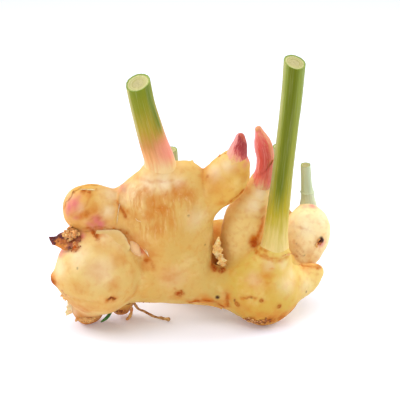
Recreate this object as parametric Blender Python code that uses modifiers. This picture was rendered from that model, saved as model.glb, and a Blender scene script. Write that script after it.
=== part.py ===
"""A hand of young ginger as it is lifted from the soil and trimmed: one fleshy rhizome with two rows of
knobs, five cut leafy stems, two pink shoots, and the torn scale leaf, rootlets and leaf scrap left on it.

Frame: metres, +Z up, +X to the hand's right, +Y to its back. The hand stands on its own underside at
Z = 0, with the middle of its bounding box over the origin. Sizes in the tables are in millimetres.
"""

import math

import bmesh
import bpy
import numpy as np
from mathutils import Matrix, Vector

MM = 0.001

# ---------------------------------------------------------------- driving dimensions (millimetres)
DEPTH_RATIO = 0.84  # a knob's front-to-back thickness over its width
FIT_GAP = 0.3  # clearance left where one piece sits in or against another
LEAF_THICKNESS = 0.8  # of the dry scale leaf and the leaf scrap
PLANT_TO_ROW = (-1.54, -10.09, 0.0)  # moves the tables' frame under the middle of the bounding box

JOIN_SOFTNESS = 1.7  # how far the hollow between two knobs is filled in
SKIN_VOXEL = 1.2  # cell of the remesh that grows the knobs together
SKIN_ROUNDS = 4  # times that the skin is eased and drawn onto the knobs' blended surface
SKIN_TRIANGLES = 6400
ROUND_END_STEPS = (25, 50, 70, 84)  # degrees, points of a rounded end
LOBE_SIDES = 6  # bevel resolutions of the curves
STEM_SIDES = 6
ROOT_SIDES = 2
SPINE_STEPS = 4  # spans between two points of a knob's, stem's or shoot's table
THIN_STEPS = 3  # the same, of a rootlet's or a leaf's
TRIM_SHARE = 0.55  # of a stem's radius, how far below its spine's end the knife's cut crosses the spine

# Each knob is a spine of (x, y, z, radius), from where it branches to where it ends.
KNOBS = {
    # front row, left to right
    "left_knob": [(-53.5, -12, 46, 19), (-53.6, -13, 37, 23.8), (-52, -12, 30, 19)],
    "left_shoulder": [(-50, -12, 46, 17), (-45, -10, 45, 14)],
    "left_knob_root": [(-49, -12, 38, 20.5), (-38, -8, 34, 16.3), (-24, -4, 29, 13)],
    "left_bud": [(-70, -12, 33, 8), (-76, -12, 31.8, 3.6)],
    "left_front_foot": [(-57, -7, 21, 14), (-61, -4, 12.5, 10.5), (-60.6, -3, 8.3, 9.2)],
    "left_rear_foot": [(-42, 1, 15, 9), (-42, 5, 7.8, 6.6)],
    "left_finger": [
        (-32, -3, 69.4, 13.8),
        (-45, -6, 72, 12.3),
        (-54.5, -9, 75, 13.3),
        (-59.6, -10, 76.1, 11.9),
    ],
    "left_finger_chin": [(-56, -9.5, 71, 11), (-61, -11, 71.2, 9.8)],
    "main_knob_left": [
        (-21.6, -2, 83.6, 8.6),
        (-23, -2, 76, 18),
        (-22, -2, 61, 19),
        (-19, -1, 42, 17.5),
        (-16, 0, 30, 14),
    ],
    "main_knob_middle": [
        (-15, -1, 84, 14),
        (-15, -1, 70, 20),
        (-14, -1, 52, 20),
        (-11, 0, 36, 17),
        (-9, 0, 30, 14.5),
    ],
    "main_knob_right": [
        (-3.6, 0, 87.6, 11.6),
        (-6.5, 1, 74, 18),
        (-7, 2, 57, 19),
        (-5.5, 1, 40, 18),
        (-4, 0, 30, 14.5),
    ],
    "main_stem_collar": [(-16, -2, 84, 14), (-17.5, -3, 92, 11)],
    "shoulder_bud": [(-34.6, -2, 77.6, 6), (-37.4, -2, 82.2, 2.8)],
    "bridge": [(-47, -8, 31, 14), (-24, -3, 27.5, 12), (2, 0, 24, 12), (26, -1, 21, 13)],
    "top_finger": [(3, 0, 70.5, 10.4), (12, 0, 78.6, 9.5), (19.2, -1, 88.5, 12.9), (24, -2, 97, 9.6)],
    "cone_finger": [
        (30.5, 9, 36, 12.5),
        (30, 10, 47, 12.8),
        (32, 11, 61, 12.3),
        (37.2, 11, 74.5, 8.8),
        (40.1, 11, 83, 6.3),
    ],
    "right_knob": [(35, 0, 24, 16), (41, -1, 21.2, 21.4), (44.8, -2, 17.2, 17.1)],
    "right_stem_collar": [(45, -2, 34, 13), (47.5, -3, 43, 10)],
    "right_pointed_finger": [(53, 4, 22, 14), (66, 7, 23, 8.8), (73.4, 8, 27.8, 4.7)],
    # rear row, left to right
    "rear_left_knob": [(-11, 32, 24, 15), (-12, 33, 43, 14.5), (-12, 34, 57, 12), (-12, 34, 66, 8)],
    "rear_bridge": [(-4, 18, 28, 14), (18, 34, 35, 15.7), (36, 38, 27, 15), (49, 36, 30, 15)],
    "rear_foot": [(14, 39, 22, 16), (9, 42, 12.6, 13.4)],
    "rear_middle_knob": [(49, 35, 34, 14), (53, 35, 44, 11), (54, 35, 51, 8)],
    "rear_right_knob": [(57, 19, 31.5, 12.6), (65.5, 22, 41, 14.7), (69.3, 24, 48.5, 14), (69.8, 28, 54, 9.6)],
}

# Each stem is (spine of (x, y, z, radius) from the socket up, tilt of the cut away from square in degrees
# about X and about Y).
STEMS = {
    "left_stem": (
        [
            (-17.1, -3, 95, 9.8),
            (-17.8, -5, 102, 8.6),
            (-20.4, -6, 111, 7.9),
            (-23.3, -8, 122, 7.4),
            (-26.7, -10, 137, 6.9),
            (-29.1, -11, 150.9, 6.8),
        ],
        (22, -6),
    ),
    "right_stem": (
        [
            (47.8, -3, 45, 8.8),
            (48.6, -4, 59, 6.9),
            (50, -5, 78, 6.2),
            (52.1, -7, 105, 5.7),
            (54.6, -10, 137, 5.8),
            (55.9, -12, 162, 5.9),
        ],
        (20, 10),
    ),
    "rear_left_stem": ([(-12, 34, 66, 5.4), (-12.4, 34, 82, 4.8), (-13, 33, 98, 4.3)], (6, 0)),
    "rear_middle_stem": ([(53, 36, 52, 5.2), (53, 36, 77, 4.9), (53, 35, 99.5, 4.7)], (6, 0)),
    "rear_right_stem": (
        [(70.7, 32, 55, 4.6), (69.9, 33, 66, 4.0), (68.8, 33, 75, 3.3), (67.6, 32, 88, 2.9)],
        (6, 0),
    ),
}

# Each shoot is a spine of (x, y, z, radius) from the socket to its pointed tip.
SHOOTS = {
    "centre_shoot": [(24.3, -2, 99, 7.4), (26, -2.5, 105, 5.3), (27.1, -3, 110, 4.0), (27.4, -3, 114, 2.6)],
    "right_shoot": [
        (40.5, 11, 84, 5.2),
        (42.3, 11, 90, 4.5),
        (42.5, 11, 98, 5.1),
        (40.9, 11, 106, 5),
        (38.2, 11, 114.6, 2.1),
    ],
}

# Each rootlet is a spine of (x, y, z, radius) from the skin to its tip.
ROOTLETS = {
    "long_root": [
        (-35, -6, 19, 0.9),
        (-32.6, -2, 10.2, 0.8),
        (-27.4, 0, 5.5, 0.75),
        (-22, -1, 3, 0.75),
        (-16.9, -2, 2.2, 0.9),
        (-13.8, -3, 2.2, 1.2),
    ],
    "short_root": [
        (-40, -3, 18, 0.9),
        (-36.4, -1.5, 11, 0.9),
        (-35.4, -1, 7, 1),
        (-36.5, -2, 3.5, 1),
        (-38, -3, 2.2, 0.8),
    ],
}

# Each leaf is a grid of (x, y, z): rows along it, from one edge to the other.
LEAVES = {
    "dry_scale_leaf": [
        [(-62.7, -16, 64.5), (-67.3, -15, 65), (-71.4, -14.5, 62.7), (-75.6, -15, 61.4), (-80.3, -15.6, 60.2)],
        [(-61.9, -19.5, 62.3), (-66.1, -18, 60.2), (-70.1, -17, 58.9), (-74.4, -17.2, 58.4), (-79.2, -16.8, 58.2)],
        [(-61.1, -22.5, 59.9), (-64.4, -23.8, 57.4), (-68.7, -23, 54.4), (-72.6, -21, 54.0), (-77.6, -18.6, 55.6)],
    ],
    "leaf_scrap": [
        [(-46.8, -7, 10.4), (-48.6, -7.6, 8), (-50.8, -7.6, 5.4), (-53.8, -6.8, 2.4)],
        [(-45.7, -7, 9.5), (-47.3, -7.6, 7), (-49.5, -7.6, 4.4), (-52.9, -6.8, 1.6)],
    ],
}


# Construction colour and roughness of each piece.
LOOKS = {
    "rhizome": ((0.78, 0.58, 0.30), 0.45),
    "left_stem": ((0.42, 0.48, 0.17), 0.35),
    "right_stem": ((0.36, 0.45, 0.15), 0.35),
    "rear_left_stem": ((0.45, 0.50, 0.28), 0.4),
    "rear_middle_stem": ((0.45, 0.50, 0.28), 0.4),
    "rear_right_stem": ((0.55, 0.60, 0.42), 0.4),
    "centre_shoot": ((0.62, 0.16, 0.18), 0.4),
    "right_shoot": ((0.66, 0.20, 0.16), 0.4),
    "dry_scale_leaf": ((0.36, 0.17, 0.06), 0.7),
    "long_root": ((0.30, 0.15, 0.06), 0.7),
    "short_root": ((0.38, 0.20, 0.08), 0.7),
    "leaf_scrap": ((0.10, 0.20, 0.03), 0.5),
}


def clear_scene():
    """Removes every object of the startup scene."""
    for obj in list(bpy.data.objects):
        bpy.data.objects.remove(obj, do_unlink=True)


def new_collection(name):
    collection = bpy.data.collections.new(name)
    bpy.context.scene.collection.children.link(collection)
    return collection


def material(name, colour, roughness):
    """A Principled BSDF of one colour for the construction view."""
    made = bpy.data.materials.new(name)
    made.use_nodes = True
    shader = made.node_tree.nodes["Principled BSDF"]
    shader.inputs["Base Color"].default_value = (*colour, 1)
    shader.inputs["Roughness"].default_value = roughness
    shader.inputs["Metallic"].default_value = 0
    return made


def smooth_spine(points, steps):
    """A Catmull-Rom curve through the points, each (x, y, z, radius), with this many steps a span."""
    p = np.array(points, float)
    p = np.vstack([2 * p[0] - p[1], p, 2 * p[-1] - p[-2]])
    t = np.linspace(0, 1, steps, endpoint=False)[:, None]
    spans = [
        0.5 * (2 * b + (c - a) * t + (2 * a - 5 * b + 4 * c - d) * t**2 + (3 * b - a - 3 * c + d) * t**3)
        for a, b, c, d in zip(p, p[1:], p[2:], p[3:])
    ]
    return np.vstack([*spans, p[-2:-1]])


def rounded(spine, start=True):
    """The spine with a round nose on its ends: radius r cos(a) at r sin(a) beyond the end."""
    steps = np.radians(ROUND_END_STEPS)[:, None]

    def nose(tip, inner):
        way = (tip - inner)[:3] / np.linalg.norm((tip - inner)[:3])
        return np.hstack([tip[:3] + way * tip[3] * np.sin(steps), tip[3] * np.cos(steps)])

    parts = [nose(spine[0], spine[1])[::-1]] if start else []
    return np.vstack([*parts, spine, nose(spine[-1], spine[-2])])


def tube(name, spine, sides, collection):
    """A mesh of round section along the spine, made from a bevelled curve with filled caps."""
    curve = bpy.data.curves.new(name, "CURVE")
    curve.dimensions = "3D"
    curve.bevel_depth = MM
    curve.bevel_resolution = sides
    curve.use_fill_caps = True
    curve.twist_mode = "MINIMUM"
    line = curve.splines.new("POLY")
    line.points.add(len(spine) - 1)
    for point, (x, y, z, radius) in zip(line.points, spine):
        point.co = (x * MM, y * MM, z * MM, 1)
        point.radius = radius
    guide = bpy.data.objects.new(name + "_guide", curve)
    collection.objects.link(guide)
    made = baked(guide, name, collection)
    weld(made)
    return made


def baked(source, name, collection):
    """A new object holding the source's evaluated mesh. The source is removed."""
    bpy.context.view_layer.update()
    graph = bpy.context.evaluated_depsgraph_get()
    mesh = bpy.data.meshes.new_from_object(source.evaluated_get(graph))
    mesh.transform(source.matrix_world)
    bpy.data.objects.remove(source, do_unlink=True)
    made = bpy.data.objects.new(name, mesh)
    collection.objects.link(made)
    return made


def weld(obj):
    """Joins a curve's loose caps to its sides and turns its faces outwards."""
    edit = bmesh.new()
    edit.from_mesh(obj.data)
    bmesh.ops.remove_doubles(edit, verts=edit.verts, dist=0.00001)
    bmesh.ops.recalc_face_normals(edit, faces=edit.faces)
    edit.to_mesh(obj.data)
    edit.free()


def knob_gap(points, spine):
    """How far each point lies outside a knob, and the way straight out of it.

    The knob is the sweep of a ball along its spine, so the gap is the least over the spine's spans of the
    distance to the span, less the radius there.
    """
    best = np.full(len(points), np.inf)
    out = np.zeros_like(points)
    for start, end in zip(spine, spine[1:]):
        span = end[:3] - start[:3]
        share = np.clip((points - start[:3]) @ span / max(span @ span, 1e-9), 0, 1)
        away = points - (start[:3] + share[:, None] * span)
        length = np.linalg.norm(away, axis=1)
        gap = length - (start[3] + share * (end[3] - start[3]))
        nearer = gap < best
        best[nearer] = gap[nearer]
        out[nearer] = away[nearer] / np.maximum(length[nearer], 1e-9)[:, None]
    return best, out


def blended_gap(points, spines):
    """The soft minimum of the knobs' gaps, which is 0 on the skin, and its slope."""
    gaps, ways = zip(*(knob_gap(points, spine) for spine in spines))
    gaps = np.array(gaps)
    least = gaps.min(axis=0)
    weights = np.exp((least - gaps) / JOIN_SOFTNESS)
    blended = least - JOIN_SOFTNESS * np.log(weights.sum(axis=0))
    slope = (weights[:, :, None] * np.array(ways)).sum(axis=0) / weights.sum(axis=0)[:, None]
    return blended, slope


def drawn_onto(points, spines):
    """The points moved onto the skin."""
    blended, slope = blended_gap(points, spines)
    steep = np.maximum((slope**2).sum(axis=1), 0.25)
    return points - (blended / steep)[:, None] * slope


def lifted_off(points, spines, least):
    """The points, in the tables' frame, with those less than this far off the skin pushed out to it."""
    deep = points / (1, DEPTH_RATIO, 1)
    for _ in range(6):
        blended, slope = blended_gap(deep, spines)
        deep += np.maximum(least / DEPTH_RATIO - blended, 0)[:, None] * slope
    return deep * (1, DEPTH_RATIO, 1)


def knob_spines():
    """The knobs' smooth spines in a frame that is as much deeper as the hand is flat."""
    deep = (1, 1 / DEPTH_RATIO, 1, 1)
    return [smooth_spine(np.array(points) * deep, SPINE_STEPS) for points in KNOBS.values()]


def skin_points(mesh):
    points = np.empty(len(mesh.vertices) * 3)
    mesh.vertices.foreach_get("co", points)
    return points.reshape(-1, 3) / MM


def eased(obj, name, helpers):
    """The object with its vertices spread evenly by a light Smooth modifier."""
    smooth = obj.modifiers.new("Ease", "SMOOTH")
    smooth.factor = 0.5
    smooth.iterations = 2
    return baked(obj, name, helpers)


def grown_rhizome(spines, collection, helpers):
    """The knobs grown together into one skin, flattened front to back and thinned out.

    They are swept round, in a frame that is as much deeper as the hand is flat, remeshed as one and
    drawn onto their blended surface, and then the depth is scaled to its real size.
    """
    edit = bmesh.new()
    for spine in spines:
        lobe = tube("knob", rounded(spine), LOBE_SIDES, helpers)
        edit.from_mesh(lobe.data)
        bpy.data.objects.remove(lobe, do_unlink=True)
    mesh = bpy.data.meshes.new("rhizome")
    edit.to_mesh(mesh)
    edit.free()
    rough = bpy.data.objects.new("rhizome_rough", mesh)
    helpers.objects.link(rough)
    remesh = rough.modifiers.new("Grow together", "REMESH")
    remesh.mode = "VOXEL"
    remesh.voxel_size = SKIN_VOXEL * MM
    skin = baked(rough, "rhizome_skin", helpers)
    for _ in range(SKIN_ROUNDS):
        skin = eased(skin, "rhizome_skin", helpers)
        points = drawn_onto(skin_points(skin.data), spines)
        skin.data.vertices.foreach_set("co", (points * MM).ravel())
    points[:, 1] *= DEPTH_RATIO
    skin.data.vertices.foreach_set("co", (points * MM).ravel())
    skin.data.calc_loop_triangles()
    thin = skin.modifiers.new("Thin out", "DECIMATE")
    thin.ratio = SKIN_TRIANGLES / len(skin.data.loop_triangles)
    return baked(skin, "rhizome", collection)


def cut(obj, cutter):
    """Takes the cutter's volume off the object, live, with an exact Boolean."""
    cutter.hide_render = True
    cutter.display_type = "WIRE"
    boolean = obj.modifiers.new("Cut " + cutter.name, "BOOLEAN")
    boolean.operation = "DIFFERENCE"
    boolean.solver = "EXACT"
    boolean.object = cutter


def floor_cutter(helpers):
    """A slab whose top is the surface that the hand stands on."""
    bpy.ops.mesh.primitive_cube_add(size=1)
    slab = bpy.context.object
    slab.name = "floor_cutter"
    for vertex in slab.data.vertices:
        vertex.co = Vector((vertex.co.x * 0.4, vertex.co.y * 0.4, (vertex.co.z - 0.5) * 0.02))
    for owner in list(slab.users_collection):
        owner.objects.unlink(slab)
    helpers.objects.link(slab)
    return slab


def socket_cutter(name, spine, sides, helpers):
    """A stem, a shoot or a rootlet, larger all round by the fit gap."""
    foot = spine.copy()
    foot[:, 3] += FIT_GAP
    way = foot[0, :3] - foot[1, :3]
    foot[0, :3] += way / np.linalg.norm(way) * FIT_GAP
    return tube(name + "_socket_cutter", foot, sides, helpers)


def sloped_cut(obj, spine, tilt_x, tilt_y):
    """Cuts a stem's top off on the slope that the knife left."""
    way = Vector(spine[-1, :3] - spine[-2, :3]).normalized()
    lean = Vector((math.tan(math.radians(tilt_y)), -math.tan(math.radians(tilt_x)), 0))
    normal = (way + lean).normalized()
    centre = (Vector(spine[-1, :3]) - way * spine[-1, 3] * TRIM_SHARE) * MM
    edit = bmesh.new()
    edit.from_mesh(obj.data)
    everything = edit.verts[:] + edit.edges[:] + edit.faces[:]
    done = bmesh.ops.bisect_plane(edit, geom=everything, plane_co=centre, plane_no=normal, clear_outer=True)
    rim = [e for e in done["geom_cut"] if isinstance(e, bmesh.types.BMEdge)]
    bmesh.ops.contextual_create(edit, geom=rim)
    bmesh.ops.recalc_face_normals(edit, faces=edit.faces)
    edit.to_mesh(obj.data)
    edit.free()


def leaf(name, rows, spines, collection):
    """A thin closed sheet through the rows of points, its inner face held the fit gap off the skin.

    A grid is laid on the Catmull-Rom surface through the points and a Solidify modifier thickens it.
    """
    along = np.array([smooth_spine(row, THIN_STEPS) for row in rows])
    surface = np.array([smooth_spine(column, THIN_STEPS) for column in along.swapaxes(0, 1)])
    length, width = surface.shape[:2]
    surface = lifted_off(surface.reshape(-1, 3), spines, FIT_GAP + 0.1)
    sheet = bmesh.new()
    bmesh.ops.create_grid(sheet, x_segments=length - 1, y_segments=width - 1, size=1)
    for vertex in sheet.verts:
        i = round((vertex.co.x + 1) / 2 * (length - 1))
        j = round((vertex.co.y + 1) / 2 * (width - 1))
        vertex.co = Vector(surface[i * width + j]) * MM
    mesh = bpy.data.meshes.new(name)
    sheet.to_mesh(mesh)
    sheet.free()
    made = bpy.data.objects.new(name, mesh)
    collection.objects.link(made)
    thicken = made.modifiers.new("Thickness", "SOLIDIFY")
    thicken.thickness = LEAF_THICKNESS * MM
    thicken.offset = 1
    return baked(made, name, collection)


def main():
    clear_scene()
    collection = new_collection("ginger_hand")
    helpers = new_collection("cutters")
    spines = knob_spines()
    rhizome = grown_rhizome(spines, collection, helpers)
    cut(rhizome, floor_cutter(helpers))
    pieces = {"rhizome": rhizome}
    for name, (points, (tilt_x, tilt_y)) in STEMS.items():
        spine = smooth_spine(points, SPINE_STEPS)
        pieces[name] = tube(name, spine, STEM_SIDES, collection)
        sloped_cut(pieces[name], spine, tilt_x, tilt_y)
        cut(rhizome, socket_cutter(name, spine, STEM_SIDES, helpers))
    for name, points in SHOOTS.items():
        spine = smooth_spine(points, SPINE_STEPS)
        pieces[name] = tube(name, rounded(spine, start=False), STEM_SIDES, collection)
        cut(rhizome, socket_cutter(name, spine, STEM_SIDES, helpers))
    for name, points in ROOTLETS.items():
        spine = smooth_spine(points, THIN_STEPS)
        pieces[name] = tube(name, rounded(spine, start=False), ROOT_SIDES, collection)
        cut(rhizome, socket_cutter(name, spine, ROOT_SIDES, helpers))
    for name, rows in LEAVES.items():
        pieces[name] = leaf(name, rows, spines, collection)
    for name, piece in pieces.items():
        piece.data.materials.clear()
        piece.data.materials.append(material(name, *LOOKS[name]))
    for obj in [*collection.objects, *helpers.objects]:
        obj.data.transform(Matrix.Translation(Vector(PLANT_TO_ROW) * MM))


main()
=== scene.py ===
"""Looks of a hand of young ginger: a fleshy rhizome, five cut leafy stems, two pink shoots, a dry scale
leaf, two rootlets and a scrap of green leaf.

Tables and surfaces are worked out in the plant's own frame, in millimetres, with +Z up and +Y to the
back, and every finished mesh is moved to the row frame by PLANT_TO_ROW.
"""

import math

import bpy
import numpy as np
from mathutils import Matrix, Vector


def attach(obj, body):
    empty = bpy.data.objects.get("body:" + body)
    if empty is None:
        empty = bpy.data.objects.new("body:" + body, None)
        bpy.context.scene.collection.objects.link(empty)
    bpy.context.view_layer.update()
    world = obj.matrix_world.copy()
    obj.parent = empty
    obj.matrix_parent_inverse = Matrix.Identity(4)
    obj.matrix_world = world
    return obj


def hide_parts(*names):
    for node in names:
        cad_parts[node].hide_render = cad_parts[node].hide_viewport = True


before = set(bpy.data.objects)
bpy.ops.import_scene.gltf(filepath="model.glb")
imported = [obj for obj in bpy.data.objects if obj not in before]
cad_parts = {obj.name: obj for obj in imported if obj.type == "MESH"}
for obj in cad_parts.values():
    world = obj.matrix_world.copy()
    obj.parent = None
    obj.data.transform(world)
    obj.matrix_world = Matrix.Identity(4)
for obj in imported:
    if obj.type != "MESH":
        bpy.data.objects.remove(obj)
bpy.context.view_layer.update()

MM = 0.001
TINY = 1e-9  # keeps a division away from zero
PLANT_TO_ROW = np.array([-1.54, -10.09, 0.0])
NOISE_CELLS = 32  # the noise repeats after this many cells

# The grown skin.
DEPTH_RATIO = 0.84  # a knob's front-to-back thickness over its width
JOIN_SOFTNESS = 1.7  # how far the hollow between two knobs is filled in
SHADE_HALO_SOFTNESS = 5.0  # the same, for the wide halo of painted shade round a hollow
TINT_SOFTNESS = 3.5  # how far one knob's own tint runs into the next
FAR_GAP = 22.0  # beyond this a knob no longer counts at a point
DARK_LINE = 0.85  # a scar line browner than this is nearly black along its middle
LEAST_SLOPE = 0.25  # squared; holds back the step to the skin where two knobs' slopes cancel
SKIN_VOXEL = 0.78  # cell of the remesh that grows the knobs together
SKIN_ROUNDS = 4  # times that the remeshed skin is smoothed and drawn onto the field
SKIN_FLOOR = 0.02  # lowest point of the skin
KNOB_SIDES = 28
NOSE_ANGLES = [20, 40, 58, 74, 86]  # of the rings that round off an end, in degrees
SPINE_STEPS = 4  # of a knob's smooth spine, to each span
STEM_STEPS = 12  # the same, of a stem's or a shoot's
ROOT_STEPS = 10  # the same, of a rootlet's
LINE_STEPS = 5  # the same, of a scar line's
SHEET_STEPS = 8  # the same, of a sheet's or a fibre's lines

# Stems and shoots.
STEM_SIDES = 72
STEM_SHEATH = 0.35  # the step at the edge of a stem's outer sheath
SHEATH_WIND = 0.6  # radians that this edge winds round from the socket to the cut
STEM_RIBS = 17
BARE_BASE = (5, 18)  # over this length above its socket a stem's ribs and sheath rise out of the skin
TRIM_SHARE = 0.55  # of a stem's radius, how far below its spine's end the knife's cut crosses the spine
SLOPED_END = 9  # length over which a stem's rings turn to the slope of its cut
CUT_RIM = [0.985, 0.955]  # the cut's outer rings, as shares of its radius
CUT_RINGS = np.linspace(0.92, 0.06, 16)  # its inner rings
CUT_DISH = 0.7 / 6.5  # depth of the cut's middle over the stem's radius
CUT_LAYERS = 0.16  # height of the ridges round the cut
CUT_ROUGH = 0.14
CUT_RISE = 0.12
SHOOT_ROWS = 110
SHOOT_SIDES = 56
SHOOT_WIND = 1.8  # radians that a shoot's sheath edge winds round
SHOOT_TURN = 0.9  # where that edge starts, in radians
SHOOT_THIN = 2.5  # below this radius a shoot's lumps fade

# Scales and leaves.
SHARP_EDGE = math.radians(55)  # a sheet's edge sharper than this is not smoothed
SCALE_THICKNESS = 0.4
SCALE_FLOOR = 0.3  # lowest point of a torn scale
FLAKE_SIZE = (36, 14)  # rows and columns of a loose flake
SHEATH_SIZE = (48, 30)  # columns and rows of a wrapped scale
SHEATH_THICKNESS = 0.3
SHEATH_TEAR = 0.5
SHEATH_FLARE = 0.25
SHEATH_RADIUS = 6.0  # at which the fibres of a wrapped scale are laid out
DRY_LEAF_SIZE = (60, 34)
LEAF_THICKNESS = 0.45
LEAF_CLEARANCE = 0.15  # least gap between the dry scale leaf and the skin
SCRAP_SIZE = (40, 16)
SCRAP_THICKNESS = 0.35
SCRAP_FLOOR = 0.5

# Roots, buds and small bits.
ROOT_SIDES = 12
ROOT_KINKS = (0.35, 0.35, 0.14)  # along X, Y and Z
ROOT_CLEARANCE = 0.1  # least gap between a rootlet and the ground
BUD_STEPS = 8  # of a small bud's smooth spine, to each span
FIBRE_ROWS = 14
FIBRE_SIDES = 6
FIBRE_RADIUS = 0.2
CRUMB_SIDES = 9
CRUMB_ANGLES = [0.5, 30, 60, 90, 120, 150, 179.5]  # of a crumb's rings from its pole, in degrees
CRUMB_SHAPE = (1, 0.7, 0.45)  # a crumb's length, width and height
CRUMB_FLOOR = 0.1
LOOSE_FACING = (-0.3, -0.75, 0.5)  # which way loose crumbs stand off

# Looks, lights and camera (metres).
WAXY = 0.14  # specular level of fresh skin
FIBRE_DRIFT = (0.006, 0.006, 0)  # how far the fibres of the skin sway
FLOOR_REACH = 8
TENT_GLOW = 0.36
LIT_POINT = Vector((0, 0, 0.07))  # where the soft lights look
CAMERA_LENS = 100  # millimetres
CAMERA_SENSOR = 36  # millimetres
CAMERA_RISE = math.radians(20)
CAMERA_REACH = 0.634
CAMERA_TARGET = Vector((0.00356, -0.01009, 0.076))

# ------------------------------------------------------------------ the plant's own spines (millimetres)
# A spine is a line of (x, y, z, radius). Each knob also has its own flesh colour, from 0 to 255.
KNOBS = {
    "left_knob": ((226, 190, 112), [(-53.5, -12, 46, 19), (-53.6, -13, 37, 23.8), (-52, -12, 30, 19)]),
    "left_shoulder": ((236, 204, 134), [(-50, -12, 46, 17), (-45, -10, 45, 14)]),
    "left_knob_root": ((225, 182, 92), [(-49, -12, 38, 20.5), (-38, -8, 34, 16.3), (-24, -4, 29, 13)]),
    "left_bud": ((226, 160, 78), [(-70, -12, 33, 8), (-76, -12, 31.8, 3.6)]),
    "left_front_foot": ((226, 168, 98), [(-57, -7, 21, 14), (-61, -4, 12.5, 10.5), (-60.6, -3, 8.3, 9.2)]),
    "left_rear_foot": ((198, 138, 56), [(-42, 1, 15, 9), (-42, 5, 7.8, 6.6)]),
    "left_finger": (
        (226, 180, 94),
        [(-32, -3, 69.4, 13.8), (-45, -6, 72, 12.3), (-54.5, -9, 75, 13.3), (-59.6, -10, 76.1, 11.9)],
    ),
    "left_finger_chin": ((232, 162, 86), [(-56, -9.5, 71, 11), (-61, -11, 71.2, 9.8)]),
    "main_knob_left": (
        (236, 195, 116),
        [
            (-21.6, -2, 83.6, 8.6), (-23, -2, 76, 18), (-22, -2, 61, 19), (-19, -1, 42, 17.5),
            (-16, 0, 30, 14),
        ],
    ),
    "main_knob_middle": (
        (210, 162, 68),
        [(-15, -1, 84, 14), (-15, -1, 70, 20), (-14, -1, 52, 20), (-11, 0, 36, 17), (-9, 0, 30, 14.5)],
    ),
    "main_knob_right": (
        (228, 196, 116),
        [(-3.6, 0, 87.6, 11.6), (-6.5, 1, 74, 18), (-7, 2, 57, 19), (-5.5, 1, 40, 18), (-4, 0, 30, 14.5)],
    ),
    "main_stem_collar": ((248, 204, 142), [(-16, -2, 84, 14), (-17.5, -3, 92, 11)]),
    "shoulder_bud": ((246, 212, 150), [(-34.6, -2, 77.6, 6), (-37.4, -2, 82.2, 2.8)]),
    "bridge": ((206, 174, 92), [(-47, -8, 31, 14), (-24, -3, 27.5, 12), (2, 0, 24, 12), (26, -1, 21, 13)]),
    "top_finger": (
        (228, 180, 82),
        [(3, 0, 70.5, 10.4), (12, 0, 78.6, 9.5), (19.2, -1, 88.5, 12.9), (24, -2, 97, 9.6)],
    ),
    "cone_finger": (
        (240, 208, 130),
        [
            (30.5, 9, 36, 12.5), (30, 10, 47, 12.8), (32, 11, 61, 12.3), (37.2, 11, 74.5, 8.8),
            (40.1, 11, 83, 6.3),
        ],
    ),
    "right_knob": ((214, 176, 70), [(35, 0, 24, 16), (41, -1, 21.2, 21.4), (44.8, -2, 17.2, 17.1)]),
    "right_stem_collar": ((228, 200, 104), [(45, -2, 34, 13), (47.5, -3, 43, 10)]),
    "right_pointed_finger": ((240, 210, 126), [(53, 4, 22, 14), (66, 7, 23, 8.8), (73.4, 8, 27.8, 4.7)]),
    "rear_left_knob": (
        (232, 192, 112),
        [(-11, 32, 24, 15), (-12, 33, 43, 14.5), (-12, 34, 57, 12), (-12, 34, 66, 8)],
    ),
    "rear_bridge": (
        (224, 172, 86),
        [(-4, 18, 28, 14), (18, 34, 35, 15.7), (36, 38, 27, 15), (49, 36, 30, 15)],
    ),
    "rear_foot": ((214, 166, 82), [(14, 39, 22, 16), (9, 42, 12.6, 13.4)]),
    "rear_middle_knob": ((240, 204, 124), [(49, 35, 34, 14), (53, 35, 44, 11), (54, 35, 51, 8)]),
    "rear_right_knob": (
        (253, 232, 174),
        [(57, 19, 31.5, 12.6), (65.5, 22, 41, 14.7), (69.3, 24, 48.5, 14), (69.8, 28, 54, 9.6)],
    ),
}

STEMS = {  # spine from the socket up, and the cut's tilt away from square about X and about Y, in degrees
    "left_stem": (
        [
            (-17, -3, 91, 10), (-17.1, -3, 95, 9.8), (-17.8, -5, 102, 8.6), (-20.4, -6, 111, 7.9),
            (-23.3, -8, 122, 7.4), (-26.7, -10, 137, 6.9), (-29.1, -11, 150.9, 6.8),
        ],
        (22, -6),
    ),
    "right_stem": (
        [
            (47.3, -3, 40, 8.6), (47.8, -3, 45, 8.8), (48.6, -4, 59, 6.9), (50, -5, 78, 6.2),
            (52.1, -7, 105, 5.7), (54.6, -10, 137, 5.8), (55.9, -12, 162, 5.9),
        ],
        (20, 10),
    ),
    "rear_left_stem": (
        [(-12, 34, 62, 6.2), (-12, 34, 66, 5.6), (-12.4, 34, 82, 4.8), (-13, 33, 98, 4.3)],
        (6, 0),
    ),
    "rear_middle_stem": (
        [(53, 36, 48, 6), (53, 36, 52, 5.4), (53, 36, 77, 4.9), (53, 35, 99.5, 4.7)],
        (6, 0),
    ),
    "rear_right_stem": (
        [
            (71.2, 32, 52, 5.2), (70.7, 32, 55, 4.6), (69.9, 33, 66, 4), (68.8, 33, 75, 3.3),
            (67.6, 32, 88, 2.9),
        ],
        (6, 0),
    ),
}

SHOOTS = {
    "centre_shoot": [
        (23.6, -2, 95, 7.4), (24.3, -2, 99, 7.5), (26, -2.5, 105, 5.6), (27.1, -3, 110, 4.3),
        (27.4, -3, 114, 2.8),
    ],
    "right_shoot": [
        (39.6, 11, 80, 6), (40.5, 11, 84, 6.2), (41.8, 11, 90, 5), (42.5, 11, 98, 5.1), (40.9, 11, 106, 5),
        (38.2, 11, 114.6, 2.1),
    ],
}

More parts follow.
